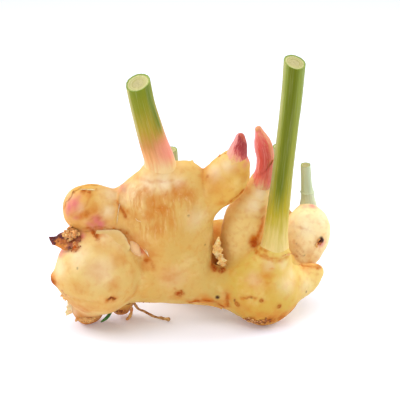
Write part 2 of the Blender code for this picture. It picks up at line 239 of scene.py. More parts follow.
ROOTLETS = {
    "long_root": [
        (-35, -6, 19, 0.9), (-32.6, -2, 10.2, 0.8), (-27.4, 0, 5.5, 0.75), (-22, -1, 3, 0.75),
        (-16.9, -2, 2.2, 0.9), (-13.8, -3, 2.2, 1.2),
    ],
    "short_root": [
        (-40, -3, 18, 0.9), (-36.4, -1.5, 11, 0.9), (-35.4, -1, 7, 1), (-36.5, -2, 3.5, 1),
        (-38, -3, 2.2, 0.8),
    ],
}

DRY_SCALE_LEAF = [  # rows of points along the leaf, from one edge to the other
    [(-62.7, -16, 64.5), (-67.3, -15, 65), (-71.4, -14.5, 62.7), (-75.6, -15, 61.4), (-80.3, -15.6, 60.2)],
    [
        (-61.9, -19.5, 62.3), (-66.1, -18, 60.2), (-70.1, -17, 58.9), (-74.4, -17.2, 58.4),
        (-79.2, -16.8, 58.2),
    ],
    [
        (-61.1, -22.5, 59.9), (-64.4, -23.8, 57.4), (-68.7, -23, 54.4), (-72.6, -21, 54),
        (-77.6, -18.6, 55.6),
    ],
]

LEAF_SCRAP = [  # rows of points along the leaf, from one edge to the other
    [(-46.8, -7, 10.4), (-48.6, -7.6, 8), (-50.8, -7.6, 5.4), (-53.8, -6.8, 2.4)],
    [(-45.7, -7, 9.5), (-47.3, -7.6, 7), (-49.5, -7.6, 4.4), (-52.9, -6.8, 1.6)],
]

# ------------------------------------------------------------------ marks of the skin (millimetres)
# Round marks: (x, y, z, radius, strength).
BLUSH = [  # pink
    (40.8, 5, 86.5, 5, 0.8), (-72.7, -17.4, 51.6, 3.4, 0.8), (-70.5, -21, 53.4, 2.4, 0.6),
    (-61.2, -19.6, 61.2, 2.2, 0.8), (-64.7, -18.3, 80.9, 4, 0.95), (-67.6, -17.7, 78.3, 3.8, 0.95),
    (-62.4, -17.1, 83.6, 2.2, 0.6), (-68.2, -17, 74.6, 2.4, 0.7), (-63.6, -19.6, 72.8, 2.4, 0.5),
    (-52.1, -20, 71, 3, 0.8), (-50, -18.9, 68.7, 2.6, 0.9), (-55.6, -19.6, 68, 3, 0.6),
    (-38.5, -7.4, 86.4, 3.6, 0.7), (-28.6, -16.6, 50.6, 2.4, 0.5), (77.4, 13.6, 43.6, 2.2, 0.9),
    (72.5, 25.9, 63.1, 3, 0.9), (68.2, 24.9, 63.1, 2, 0.5), (31.4, -4, 102.4, 3, 1),
    (30.4, -7.2, 99, 2.2, 0.5), (-61, 8, 74, 7, 0.5), (22, 9, 97, 5, 0.5), (66, 38, 50, 5, 0.5),
]
# Amber marks are partly the skin's own tan, and partly painted shade in creases and on sides turned from
# the light, such as behind the left knob's collar scale.
AMBER = [  # warm orange-tan
    (-13, -17.8, 84, 4, 0.6), (-4, -13.4, 90, 3.6, 0.7), (-33.5, -14.6, 57.5, 4.5, 0.8),
    (-38, -14.5, 61.5, 3.5, 0.7), (-27.4, -16.6, 56, 4, 0.7), (-30.6, -15.4, 60.4, 3.6, 0.55),
    (-22, -17.4, 50.6, 4, 0.6), (30, -17, 14, 7, 0.45), (-52, -32.5, 46, 6, 0.4), (-50, -25, 58, 4.5, 0.35),
    (-61.9, -24.8, 18.6, 6, 0.75), (-55.7, -28.9, 21.8, 5, 0.45), (-67.4, -24.4, 22.8, 4, 0.5),
    (-51.8, -20.4, 62.8, 3.2, 0.9), (40.8, -17, 11.1, 5, 0.6), (46.8, -15.2, 8.2, 5, 0.8),
    (52.7, -12.8, 8.4, 5, 0.8), (58.9, -7.7, 9.8, 5, 0.8), (13, -3.2, 37, 4, 0.9),
    (-11.6, -17.5, 35.5, 6.5, 0.55), (-24.6, -17.4, 46.6, 3.2, 1), (12.4, -9.4, 91, 6, 0.4),
    (36.5, -16.6, 33, 5.5, 0.5), (-31, -16, 60, 4, 0.45), (-52.6, -20, 71, 4, 0.8),
    (-61.7, -31.7, 34.8, 5, 0.35), (-43, -30.6, 36, 4.5, 0.4), (-39.4, -26.2, 50, 4.5, 0.45),
    (-35.5, -22, 41, 4, 0.45), (-57.6, -19.9, 75.4, 3.4, 1), (-61.4, -20.3, 74, 3, 0.9),
    (-54, -20.3, 77.5, 3.6, 0.75), (-53, -19.9, 69.5, 4, 0.9), (-48.4, -17.6, 69, 3, 0.5),
    (-59.2, -15.3, 86, 2, 0.8), (-56.2, -16.7, 84.8, 2, 0.75), (-26, -15.3, 84.5, 4.6, 0.6),
    (-21.5, -17.1, 80.5, 5.2, 0.75), (-16.4, -17.9, 76.6, 5.2, 0.8), (-23.6, -18.3, 73, 5, 0.6),
    (-14.4, -18.3, 71, 5, 0.35), (-19, -18.8, 66, 5, 0.5), (-6.6, -13.2, 86.2, 5, 0.85),
    (-1, -11.4, 83.8, 4.6, 0.75), (-30, -15, 72, 4, 0.45), (-26.7, -15.6, 43, 4, 0.8),
    (-22.6, -17, 45.5, 3, 0.5), (-35.1, -15.5, 73.9, 2.6, 0.8), (10, -7.6, 91, 3.2, 0.35),
    (13, -9.6, 86, 5, 0.4), (17.5, -8.4, 76.5, 3, 0.6), (24.5, -10.3, 97.5, 3.6, 0.35),
    (29.6, -8.6, 93, 3.2, 0.45), (36.6, 0.8, 50, 4.4, 1.1), (37, -1.4, 47.6, 2.4, 0.9),
    (42, 4.7, 68, 3, 0.6), (41.6, 4.4, 59, 3.6, 0.4), (42, 4.4, 52, 3.6, 0.5), (21.5, 4.6, 57, 3, 0.45),
    (42.8, -12.9, 39, 4.2, 0.45), (43.3, -15, 35.8, 5, 0.55), (42.9, -16.8, 31.5, 5, 0.5),
    (39, -16.4, 30.6, 3.4, 0.3), (38.7, -16.2, 9, 7, 0.45), (50, -15.6, 10.6, 5, 0.4),
    (28, -14.6, 17, 4, 0.35), (17, 15, 31, 6, 0.8), (15.4, 25, 48, 5, 0.8), (66.6, 5.2, 32, 4, 0.7),
    (74.4, 7.4, 31, 2.6, 0.8), (60, 0, 18, 6, 0.4), (-66.5, -14, 24, 4, 0.55), (-65, -12, 9, 6, 0.5),
    (-60, -16, 19, 4.5, 0.45), (-44, -24, 18, 5, 0.4), (-42, -4, 8, 5, 0.6), (-76.5, -18.4, 33.4, 4.4, 0.9),
    (62.5, 10.4, 42, 3.4, 0.4), (70, 10, 38, 4, 0.35), (75, 12.2, 46, 3.2, 0.5), (-8, -13, 21, 5, 0.4),
    (9, -9, 17, 5, 0.5), (17.5, -9.4, 14, 4, 0.6),
]
# Among the cork marks, the spots low in the crease below the left knob's collar scale are painted shadow.
CORK = [  # brown and rough
    (-54, -19.6, 64, 1.4, 0.8), (-52.8, -21, 62.5, 1.5, 0.8), (50.2, -16.6, 17.5, 1.3, 0.7),
    (40.2, -18.4, 22.1, 1.1, 0.7), (46.8, -14.8, 6.6, 4, 0.6), (52.7, -12.4, 7.2, 3.6, 0.6),
    (58.5, -7.6, 8.8, 3, 0.5), (13.2, -3.4, 35.3, 2.2, 0.8), (17.9, -3.9, 34.2, 2.4, 0.9),
    (-24.8, -17.4, 46.4, 1.6, 0.7), (-57.4, -20, 76.6, 1.5, 0.5), (-51, -20.4, 72.4, 1.2, 0.5),
    (-68.6, -20.4, 57.2, 3.4, 0.9), (-64.6, -23.4, 56.8, 3.2, 1), (-62.8, -20.5, 61, 2.2, 0.7),
    (-79, -16, 34.3, 3, 1), (-77.6, -19, 33.8, 2.6, 0.9), (-59.3, -14.4, 86.9, 1.8, 0.9),
    (-56.4, -15, 86.7, 1.6, 0.8), (-64.8, -13.4, 85.2, 1.2, 0.6), (-52.6, -13.6, 86.8, 1.2, 0.6),
    (-7, -11.2, 23.4, 2.7, 1.2), (-6, -10.4, 21.6, 1.5, 0.9), (-25.4, -16.6, 45.6, 1.6, 0.8),
    (16.5, 17, 29.5, 2.2, 0.8), (36.2, 0.6, 49.6, 2.7, 0.9), (34.2, -14.5, 5, 4.6, 0.6),
    (43.3, -15.3, 5.5, 3.6, 0.5), (-62, -14, 3.5, 4.6, 0.45), (-42, -2, 4, 3.6, 0.5),
    (75.7, 6.4, 30.8, 1.5, 0.6), (-13.8, -13.4, 85.2, 1.3, 0.9), (-17.6, -18, 77.4, 0.9, 0.5),
    (-8.2, -11.5, 87.2, 1.3, 0.8), (75.2, 12.2, 45.2, 2, 0.9), (16.4, -5.6, 103.4, 1.2, 0.7),
    (9.4, -6.6, 92.6, 0.9, 0.5), (62.5, 34, 40, 2.4, 0.8), (30, 52, 26, 2.4, 0.8), (-14, 45, 40, 2.2, 0.7),
    (-52, 9, 44, 2.4, 0.8), (-20, 16, 66, 2, 0.7),
]
DOTS = [  # small, dark and crisp
    (15.2, -10.7, 19.8, 1.25, 1), (-78.6, -17.6, 34, 1.6, 0.8), (76.4, 13, 46.8, 1.6, 1),
    (77.2, 13.4, 45.8, 1.3, 1), (75.4, 12.4, 46.2, 1.3, 1), (-62.9, -29.7, 46.5, 0.5, 0.6),
    (-1.6, -14.7, 72.1, 0.6, 0.5), (8, -8.6, 51.8, 0.6, 0.5), (21.4, 2.8, 48.4, 0.6, 0.5),
    (34.6, -18, 23.4, 0.5, 0.5), (25, -13.5, 19.2, 0.7, 0.6), (62.2, 10.5, 45.2, 0.4, 0.4),
    (66.5, 9.5, 38, 0.5, 0.5), (67.3, -1.2, 19.3, 0.7, 0.6),
]
PALE_AND_LIT = [  # cream: partly skin that a sheath kept the light off, and partly painted light on surfaces that face the light
    (-67.8, -10, 11, 4, 0.5), (-61, -13, 12, 4, 0.4), (-48.5, -20, 62, 6, 0.35), (-41, -19, 59, 6, 0.3),
    (-62, -26, 52, 7, 0.6), (-50, -31, 46, 8, 0.5), (-72, -22, 44, 6, 0.5), (-31, -10, 84, 6, 0.8),
    (-36, -10.6, 80, 4, 0.5), (-24, -12.6, 90, 5, 0.9), (-15, -13.8, 91, 5, 0.9), (-7, -12.4, 91, 4, 0.7),
    (-46, -17.6, 76, 4, 0.6), (-45, -12, 84, 5, 0.6), (-66, -14, 82, 3, 0.5), (-61, -20.6, 78, 2.4, 0.5),
    (3, -14, 70, 6, 0.4), (13, -8.6, 96, 5, 0.7), (20, -9, 100.5, 5, 0.6), (40, 4.4, 78, 4, 0.9),
    (36, 3.2, 72, 5, 0.7), (66, 14, 56, 9, 0.7), (74, 20, 56, 6, 0.7), (45, -13, 41, 3.5, 0.5),
    (52.5, -10.4, 40.5, 3.5, 0.4), (36, -14, 33, 4, 0.45), (54, -12, 29, 6, 0.5), (57, -8, 33, 5, 0.4),
    (66, -1, 24, 5, 0.4), (-10, -14, 34, 7, 0.25),
]
FIBROUS = [  # where the old sheath's fibres still run down from the left stem
    (-28, -14, 80, 9, 1), (-17, -18, 78, 10, 1), (-6, -16, 80, 8, 0.9), (-24, -19, 68, 9, 0.9),
    (-12, -20, 68, 9, 0.7), (-30, -16, 68, 6, 0.7), (-17, 14, 78, 12, 0.8),
]

# Scars and edges of old scale leaves, each a line over the skin: (width, height, cork, amber, points).
# The first three are painted shadow in the crease under the left knob's collar scale.
SCAR_LINES = [
    # Painted shadow: amber and brown in the crease under the free edge of the left knob's collar scale.
    (0.8, -0.3, 0.45, 1, [
        (-59, -18.8, 65.6), (-55.1, -19.3, 66.2), (-50.7, -18.5, 66.4), (-46.4, -17, 65.2),
        (-42.6, -15.4, 64.2),
    ]),
    (0.8, -0.2, 0.35, 1, [
        (-42.6, -15.4, 64.2), (-37.1, -14.3, 62.2), (-34.2, -14.8, 59), (-31.4, -15.8, 55.6),
    ]),
    # Painted shadow: the same crease, on down past the side bud.
    (0.9, -0.4, 0.3, 0.9, [
        (-27.6, -16.6, 52.4), (-24.6, -17.2, 49.4), (-22.4, -17.1, 45.4), (-21.4, -16.8, 41.6),
    ]),
    (0.9, -0.4, 0.7, 1, [(-54.8, -19, 64.6), (-53.6, -20.8, 62.8), (-51.8, -22.6, 60.9)]),
    (0.8, -0.4, 0.65, 1, [
        (-41.2, -14, 79.3), (-39, -14.6, 76.6), (-37.2, -15.2, 74.2), (-36.4, -15.7, 71.8),
    ]),
    (0.5, 0.25, 0.1, 0.45, [
        (-30.4, -7.4, 91.6), (-24.6, -12, 91.9), (-17.1, -13.6, 91.6), (-9.5, -11.6, 92.2),
    ]),
    (0.7, -0.4, 0.75, 1, [(33.8, -5, 85.6), (28.1, -7.6, 83.4), (23.8, -7.7, 78.8), (21.2, -6.3, 76)]),
    (0.4, 0.3, 0, 0.25, [(19.7, 8, 62.6), (27, 2, 64.2), (36.2, 1.7, 65), (41.6, 4.6, 65)]),
    (0.4, 0.3, 0, 0.25, [(19, 7, 55), (24.7, 1.2, 55.6), (32.2, 0.1, 56.2), (40, 3, 56.6)]),
    (0.4, 0.3, 0, 0.25, [(17.8, 7, 46.2), (24.8, 0.2, 47.5), (31.7, -0.6, 48), (36, 0, 48.4)]),
    (1, -0.2, 0.25, 1, [(36.4, 0.5, 49.3), (38.7, 2.1, 51.8), (41.1, 4.2, 57.2), (42, 4.6, 63)]),
    (0.5, -0.3, 0.15, 0.9, [(37.3, -5.2, 45.4), (41.1, -9.5, 45), (46.2, -12, 43.6), (52, -10.8, 43)]),
    (0.5, -0.4, 0.2, 0.9, [
        (36.4, -2.2, 46), (41.7, -9.3, 46), (46, -11.6, 45), (51, -11.6, 44.2), (55.6, -8.4, 44.6),
    ]),
    (0.6, -0.4, 0.25, 0.8, [(39.4, -5, 48.4), (43.4, -9.8, 48)]),
    (0.6, -0.4, 0.55, 0.9, [(57, -3, 45.6), (60.6, 7.5, 39.4), (63.6, 7.8, 35.2), (65.1, 6.5, 32.6)]),
    (0.6, -0.3, 0.45, 0.9, [(65.2, 5.6, 32.2), (70, 6.4, 31.9), (74.6, 5.6, 31.6)]),
    (0.6, -0.3, 0.05, 0.4, [
        (-30.1, -20.4, 31), (-31.6, -20.3, 27.1), (-33.9, -20.7, 24.2), (-36, -20.9, 22.4),
    ]),
    (0.9, -0.45, 0, 0.35, [
        (-73.2, -18, 24.2), (-68.8, -25.7, 26.4), (-64.5, -28.9, 27.2), (-59.8, -30.4, 27),
        (-53, -31, 25.6),
    ]),
    (0.9, -0.4, 0.9, 1, [(-46.4, -30.6, 27.7), (-44.4, -30.4, 28.9), (-42.5, -29, 27.2)]),
    (0.6, -0.4, 0.55, 0.7, [
        (28.6, -15.7, 22.2), (31.4, -17.1, 22.6), (34, -17.8, 23.6), (36.7, -18.5, 23),
    ]),
    (0.6, -0.3, 0.65, 0.7, [(25, -13.5, 19.6), (26.6, -14.2, 17.6), (26.2, -14, 15.4)]),
    (0.9, 0.5, 0.75, 1, [
        (-0.7, -7.9, 16), (2.8, -8.6, 17), (6.8, -9, 17.5), (13, -9.7, 17), (16.1, -9.3, 15),
        (19.1, -8.4, 12.7),
    ]),
    (0.9, -0.7, 0.8, 1, [(20.4, -12, 22.4), (20.7, -11.5, 18), (21, -9.9, 13.4)]),
    (0.5, -0.2, 0.4, 0.6, [(-9.4, -13.5, 26.8), (-7.3, -12.8, 24.6), (-4.7, -11.7, 21.8)]),
    (0.5, 0.3, 0.15, 0.45, [(60.6, 15.2, 54.6), (64.6, 13.4, 53.9), (70, 12.4, 52.4)]),
    (0.5, -0.3, 0.4, 0.35, [(60, 11, 47), (63, 10, 43.6), (66.5, 9.4, 39.8)]),
    (0.5, -0.3, 0.4, 0.35, [(62, 9.4, 40.6), (65.5, 9.2, 37.6), (69, 9.2, 35.8)]),
    (0.5, 0.3, 0.15, 0.45, [
        (-66.2, -19.6, 74), (-62.6, -20.3, 77.4), (-58.4, -20.2, 79.4), (-56.6, -18.6, 82.8),
        (-55.2, -15.6, 86),
    ]),
    (0.5, 0.3, 0.15, 0.5, [(-57, -20.4, 71), (-52.8, -20.6, 73.4), (-49, -19.4, 76.6)]),
]
REAR_RING = (0.7, 0.5, 0.2, 0.5)
REAR_RINGS = [  # lines of one kind, round the rear knobs
    [(-44, 2, 84), (-45, 6, 76), (-45, 4, 66)],
    [(-70, 2, 50), (-60, 10, 48), (-48, 11, 46), (-38, 8, 46)],
    [(-36, 12, 62), (-22, 16, 60), (-4, 18, 62), (8, 14, 64)],
    [(2, 48, 40), (14, 50, 42), (28, 52, 38), (42, 51, 38)],
    [(60, 38, 44), (70, 38, 46), (80, 34, 50)],
    [(-24, 40, 52), (-14, 46, 50), (0, 42, 52)],
]
SCAR_LINES += [(*REAR_RING, line) for line in REAR_RINGS]

# Pits and rims that rootlets left: (x, y, z, radius).
ROOT_SCARS = [
    (50.2, -16.8, 17.5, 1.1), (40.2, -18.6, 22.1, 0.8), (-7, -11, 23.3, 2), (26.7, -14.2, 17.3, 1.4),
    (30, 53, 26, 1.8), (46, 50, 24, 1.6), (12, 56, 16, 1.6), (-56, 10, 26, 1.6), (-40, 9, 30, 1.5),
    (58, 8, 12, 1.5),
]

# Small swellings: (x, y, z, radius, height).
SWELLINGS = [
    (-29, -16.5, 51, 4, 1), (-77.8, -16.6, 34.2, 4.6, 1.4), (0.2, 1.1, 97.7, 1.3, 1.6),
    (-64.6, -22.4, 58.6, 3.2, 1.4), (-68.6, -19.4, 60, 2.6, 1.6), (75.9, 12.2, 46.2, 3.4, 0.8),
    (-38.5, -7.4, 87, 3.6, 1.8), (-52, 9, 44, 3.4, 1.4), (62.5, 35, 40, 3.4, 1.2),
]

# ------------------------------------------------------------------ scales and small bits (millimetres)
# (name, finish, noise seed, (columns, rows), rise, root line, free line, other traits of torn_scale)
LEFT_SCALES = [
    (
        "left_knob_collar_scale", "skin", 3, (60, 24), 0.9,
        [
            (-54, -23, 60.5), (-51.1, -24.6, 59.6), (-46.6, -25.6, 57.5), (-42.8, -25, 56.1),
            (-39.6, -23.8, 53.4), (-36.3, -22.2, 49.7),
        ],
        [
            (-52.5, -17, 64.8), (-50.5, -17.2, 64.6), (-45.9, -15.8, 64.2), (-41, -14.4, 64.4),
            (-37.4, -15.2, 61.4), (-34, -18, 54.8),
        ],
        dict(hold=0.6, ragged=0.12, crumple=0.15, sink=0.9, curl=1.5, dry=0, tear=3, clean=True),
    ),
    (
        "left_knob_notch_scale", "skin", 9, (36, 20), 1,
        [(-58.7, -18.6, 63.4), (-57.4, -21, 61.6), (-55.5, -23.9, 59.3)],
        [(-54.6, -18.9, 64.2), (-53.6, -20.8, 62.6), (-52, -22.9, 60.6)],
        dict(ragged=0.1, sink=0.3, dry=0.3, crumple=0.1),
    ),
    (
        "left_bud_scale_low", "tan", 11, (20, 14), 0.8,
        [(-68.9, -27, 32.5), (-69.5, -26.3, 28.5), (-68.5, -25.5, 26.5)],
        [(-73.4, -23, 31), (-73.8, -22.5, 28.4), (-70.8, -23.5, 26.2)],
        dict(hold=0.6, ragged=0.35),
    ),
    (
        "left_foot_upper_scrap", "tan", 47, (22, 12), 0.8,
        [(-73.9, -15.6, 25.4), (-72.6, -18.6, 24.4), (-71, -21, 23.8)],
        [(-75.8, -16, 22.6), (-74.4, -19, 21.6), (-72.4, -21.4, 21.6)],
        dict(hold=0.5, ragged=0.4, tear=1.6),
    ),
    (
        "left_foot_side_scale", "cream", 13, (28, 14), 0.9,
        [(-68.5, -14, 20.5), (-70.2, -10, 14), (-70.5, -8, 8)],
        [(-71.5, -13.5, 20), (-73.6, -9, 12), (-75, -7, 5.5)],
        dict(hold=0.7, ragged=0.25),
    ),
    (
        "left_foot_sole_scale", "tan", 15, (32, 12), 0.8,
        [(-68, -12, 6.5), (-62.3, -13, 5.5), (-56, -12.6, 6.5)],
        [(-70, -12.4, 3.4), (-63.3, -14, 2.4), (-56.5, -13.2, 3)],
        dict(hold=0.6, ragged=0.5, tear=1.6),
    ),
    (
        "left_finger_tip_scale", "skin", 17, (60, 24), 0.2,
        [(-69.5, -6, 73.5), (-70, -5, 79), (-66.5, -4.5, 84.5), (-60, -4, 88), (-52, -4, 88)],
        [
            (-69.8, -15, 75.5), (-67.6, -15.9, 80), (-64, -14.4, 84.6), (-58.4, -11.5, 87.4),
            (-52, -10.5, 87.2),
        ],
        dict(ragged=0.22, crumple=0.15, tear=2, sink=0.4, dry=0.35, curl=1.2),
    ),
    (
        "left_finger_tip_scrap", "cream", 19, (26, 12), 0.6,
        [(-62.5, -11.8, 87.6), (-58.5, -12.2, 88.2), (-54, -12, 88.2)],
        [(-61.8, -14.4, 88), (-57.5, -15.4, 88.3), (-53, -15.2, 87.4)],
        dict(ragged=0.4, tear=1.6),
    ),
    (
        "left_finger_base_scale", "skin", 21, (44, 16), 0.7,
        [(-44.8, -9, 84), (-45.2, -15, 79), (-45.9, -17.2, 72), (-46, -15.5, 66)],
        [(-40.3, -9.6, 82.8), (-40.2, -14.2, 78.2), (-41.2, -15.9, 72), (-41.6, -15, 66.8)],
        dict(ragged=0.12, sink=0.3, dry=0.35),
    ),
    (
        "main_knob_side_scale", "skin", 23, (24, 18), 0.9,
        [(-37.4, -12.8, 81.4), (-34.3, -14.2, 80.2), (-31.5, -15.4, 77.6)],
        [(-38.6, -15, 75.8), (-37.2, -15.9, 72.4), (-36, -16, 72.2)],
        dict(ragged=0.2, dry=0.5),
    ),
]
RIGHT_SCALES = [
    (
        "right_collar_scale", "skin", 29, (40, 22), 0.8,
        [(52, -10.2, 41.6), (56, -6.4, 39.8), (59.5, 0, 36.4), (61.2, 2.6, 32.6)],
        [(55.2, -6.8, 46.4), (58, 0.4, 43.4), (61.4, 3.6, 39.4), (64.2, 4.4, 34.4)],
        dict(hold=0.75, ragged=0.2, dry=0.45, tear=2.6),
    ),
    (
        "right_collar_curl", "tan", 31, (24, 14), 1,
        [(51, -10.8, 43.4), (53.6, -9.4, 43), (55.6, -7, 42.4)],
        [(52.8, -10.6, 46.8), (55.4, -8.8, 47.6), (57.4, -6, 46.2)],
        dict(hold=0.8, ragged=0.45, crumple=0.5),
    ),
    (
        "right_knob_front_scale", "skin", 33, (36, 14), 0.7,
        [(40, -13.6, 36.2), (45.5, -14.8, 35.4), (51, -13, 36)],
        [(39, -10.8, 40.6), (45, -13, 40), (50.5, -12.6, 39.4)],
        dict(ragged=0.3, dry=0.5, sink=0.3),
    ),
    (
        "rear_right_torn_bud", "tan", 35, (22, 14), 1,
        [(72.8, 10.6, 42.8), (72.9, 10.8, 45.4), (73.6, 11.4, 48)],
        [(75, 9.8, 42), (75.4, 10, 44.6), (76.6, 11, 47.6)],
        dict(hold=0.6, ragged=0.5, crumple=0.5),
    ),
    (
        "main_knob_under_scale", "skin", 37, (40, 14), 0.8,
        [(2, -9.8, 19.5), (8, -10.4, 18.6), (14, -9.4, 16.4), (18, -8, 14)],
        [(3, -9.2, 15.4), (9.2, -8.2, 13.6), (14.2, -6, 11), (18, -5, 9.6)],
        dict(ragged=0.25, dry=0.7, sink=0.3),
    ),
    (
        "top_finger_left_scrap", "tan", 39, (20, 12), 0.9,
        [(15, -3, 101.4), (17.4, -3.6, 102.6), (19.6, -4.6, 103.2)],
        [(15.4, -2, 103), (17.8, -2.4, 104.6), (20, -3.4, 105)],
        dict(hold=0.4, ragged=0.5),
    ),
    (
        "pointed_finger_top_scale", "skin", 41, (32, 12), 0.7,
        [(60.5, 4, 34.2), (66.2, 5.4, 32.4), (72, 7.6, 31)],
        [(61.5, 1.6, 34.4), (67.2, 2.6, 32.2), (75.2, 6.6, 31.6)],
        dict(ragged=0.3, dry=0.6, sink=0.3),
    ),
    (
        "rear_middle_scale", "skin", 43, (36, 16), 0.8,
        [(44, 49, 36), (52, 47, 39), (60, 42, 41)],
        [(44, 50, 41), (52, 47.5, 45), (60, 42, 47)],
        dict(ragged=0.3, dry=0.5),
    ),
    (
        "rear_left_scale", "skin", 45, (44, 16), 0.8,
        [(-24, 36, 46), (-16, 46, 44), (-4, 46, 44), (2, 40, 46)],
        [(-24, 36, 51), (-16, 46, 50), (-4, 45, 51), (1, 40, 51)],
        dict(ragged=0.3, dry=0.5),
    ),
]

GAP_FLAKES = [  # (name, noise seed, spine of x, y, z and half-width)
    (
        "gap_pale_flake", 25,
        [(17.4, -2.6, 40, 1.3), (15.8, -5.2, 44.8, 2.7), (15, -6, 50, 2.4), (15.9, -5.6, 56, 0.4)],
    ),
    ("gap_tan_flake", 27, [(19.2, -3.4, 36.6, 1.2), (17.9, -5.4, 39.8, 2.3), (16.6, -5.4, 43.4, 0.7)]),
]

SIDE_BUD = [  # spine of the small bud beside the left knob
    (-33.4, -14.6, 55.4, 1.6), (-32, -16.4, 53.8, 2.6), (-30.4, -17.6, 51.8, 2.5),
    (-29.2, -17.9, 50.2, 1.3),
]

CRUMBS = [  # (name, finish, seed, count, reach round the centres, size, centres)
    (
        "left_knob_crumbs", "brown", 3, 70, 1.5, 0.85,
        [(-66, -21, 60), (-68, -19, 61), (-64.5, -23.2, 57.5), (-69, -20.5, 58)],
    ),
    (
        "left_knob_pale_crumbs", "tan", 4, 100, 1, 1.2,
        [(-70.2, -17.2, 61.2), (-67.6, -17.4, 63), (-64.8, -18.8, 63), (-67.2, -18.4, 61.2)],
    ),
    (
        "right_knob_sole_crumbs", "brown", 5, 60, 1.3, 0.75,
        [(33, -13.3, 6), (36.4, -14.2, 5), (39.9, -14.4, 4.6), (43.8, -15.2, 6)],
    ),
    ("right_knob_sole_pale_crumbs", "tan", 6, 24, 1.6, 0.8, [(35, -14.3, 6), (41, -15, 5.6)]),
    ("left_foot_crumbs", "tan", 7, 26, 1.2, 0.7, [(-67, -12.4, 4), (-62, -13.6, 3.4), (-57, -13, 4)]),
    ("gap_crumbs", "brown", 8, 26, 1.1, 0.8, [(17.7, 14.9, 29.9), (18.6, 9, 30.6)]),
    (
        "bridge_sole_crumbs", "brown", 9, 26, 1.4, 0.6,
        [(-36, -12, 14.5), (-28, -10, 15), (-44, -6, 4.5), (-40, -5, 5)],
    ),
]
LOOSE_CRUMBS = {"left_knob_pale_crumbs"}  # these lie on the dry scale leaf, off the skin

OLD_FIBRES = [
    [(-39.6, -14.8, 79), (-40.6, -16.4, 74), (-41.4, -16.2, 68)],
    [(-30.9, -17.5, 71.6), (-29.8, -18.1, 70.4), (-27.8, -18.5, 70)],
    [(-27, -18.6, 53.6), (-25, -19.2, 51.4), (-23.6, -19, 49)],
    [(-25.6, -19, 53.2), (-24.4, -19.4, 51.4), (-24.2, -19.2, 49.8)],
]

# ------------------------------------------------------------------ colours (0 to 255)
# Cloudy layers of the fresh skin: (scale, low and high ends of the mask, detail, strength, colour).
SKIN_CLOUDS = [
    (62.0, 0.40, 0.70, 4.0, 0.24, (228, 160, 70)),
    (95.0, 0.50, 0.72, 4.0, 0.24, (255, 226, 156)),
    (165.0, 0.48, 0.68, 5.0, 0.20, (222, 146, 56)),
    (330.0, 0.50, 0.70, 4.0, 0.20, (212, 130, 46)),
]

# A stem's colours by height, from 0 at its socket to 1 at its cut. A stripe is (direction x, direction y,
# low and high ends of its edge, its heights, colour), laid on the side that faces that way; the pale ones
# facing left are painted light. blush is the strength of the pink on the right side.
STEM_SKINS = {
    "left": dict(
        stops=[
            (0, (238, 186, 112)), (0.07, (244, 204, 138)), (0.14, (244, 208, 144)), (0.26, (238, 168, 108)),
            (0.40, (206, 142, 70)), (0.58, (178, 152, 44)), (0.80, (140, 142, 26)), (1, (126, 138, 28)),
        ],
        stripes=[
            # Painted light: the side facing left, paler where the light falls on it.
            (-0.97, -0.25, 0.78, 1.02, (0.34, 0.60), (190, 176, 104)),
            (0.80, -0.60, 0.86, 1.02, (0.42, 0.60), (104, 122, 34)),
        ],
        blush=0.8,
    ),
    "right": dict(
        stops=[
            (0, (244, 214, 144)), (0.14, (224, 198, 112)), (0.26, (192, 170, 40)), (0.45, (156, 154, 42)),
            (0.75, (142, 152, 54)), (1, (134, 150, 56)),
        ],
        stripes=[
            (-0.15, -0.98, 0.68, 1.02, (0.22, 0.42), (106, 116, 2)),
            # Painted light: the side facing left, paler where the light falls on it.
            (-0.97, -0.25, 0.82, 1.04, (0.20, 0.45), (172, 172, 96)),
        ],
    ),
    "rear": dict(
        stops=[
            (0, (236, 196, 124)), (0.14, (236, 206, 146)), (0.34, (196, 196, 144)), (0.6, (172, 184, 134)),
            (1, (176, 186, 136)),
        ],
    ),
    # Painted light: the rear colours made lighter all over, against the shade that the right stem casts on
    # this stem; pinker at the foot.
    "rear_right": dict(
        stops=[
            (0, (252, 214, 176)), (0.12, (244, 206, 176)), (0.24, (210, 214, 176)), (0.6, (194, 206, 166)),
            (1, (200, 210, 170)),
        ],
    ),
}

PITH = (202, 192, 138)
CUT_STOPS = [  # the cut's colours, from its middle to its rim
    (0, PITH), (0.42, (195.94, 186.24, 133.86)), (0.50, (184, 178, 112)), (0.58, PITH),
    (0.70, (190, 188, 122)), (0.78, (210, 204, 148)), (0.90, (160, 172, 84)), (0.985, (120, 150, 60)),
]

# A shoot's colours by height; its left and right tints, each (low and high ends of the tint's edge across
# the shoot, strength, colour), the paler pink on the left being a painted highlight; its marks; and how
# much lower the red reaches on the right side.
SHOOT_SKINS = {
    "centre_shoot": dict(
        stops=[
            (0, (236, 198, 108)), (0.30, (238, 192, 116)), (0.44, (236, 150, 118)), (0.54, (204, 78, 68)),
            (0.66, (172, 46, 46)), (0.90, (160, 40, 42)), (1, (192, 72, 44)),
        ],
        # Painted highlight: the paler pink on the left side; the right side is a darker red.
        tints=[(-0.2, -0.8, 0.75, (240, 156, 148)), (0.75, 1.0, 0.4, (138, 34, 36))],
        mark=(206, 110, 80),
        lean=0.16,
    ),
    "right_shoot": dict(
        stops=[
            (0, (242, 196, 132)), (0.08, (236, 150, 112)), (0.18, (226, 108, 86)), (0.45, (214, 76, 58)),
            (0.75, (228, 96, 86)), (0.92, (232, 130, 108)), (1, (226, 170, 98)),
        ],
        # Painted highlight: the paler pink on the left side; the right side is a torn tan strip.
        tints=[(-0.45, -0.8, 0.6, (242, 150, 142)), (0.25, 0.6, 0.75, (218, 136, 74))],
        mark=(190, 70, 50),
    ),
}


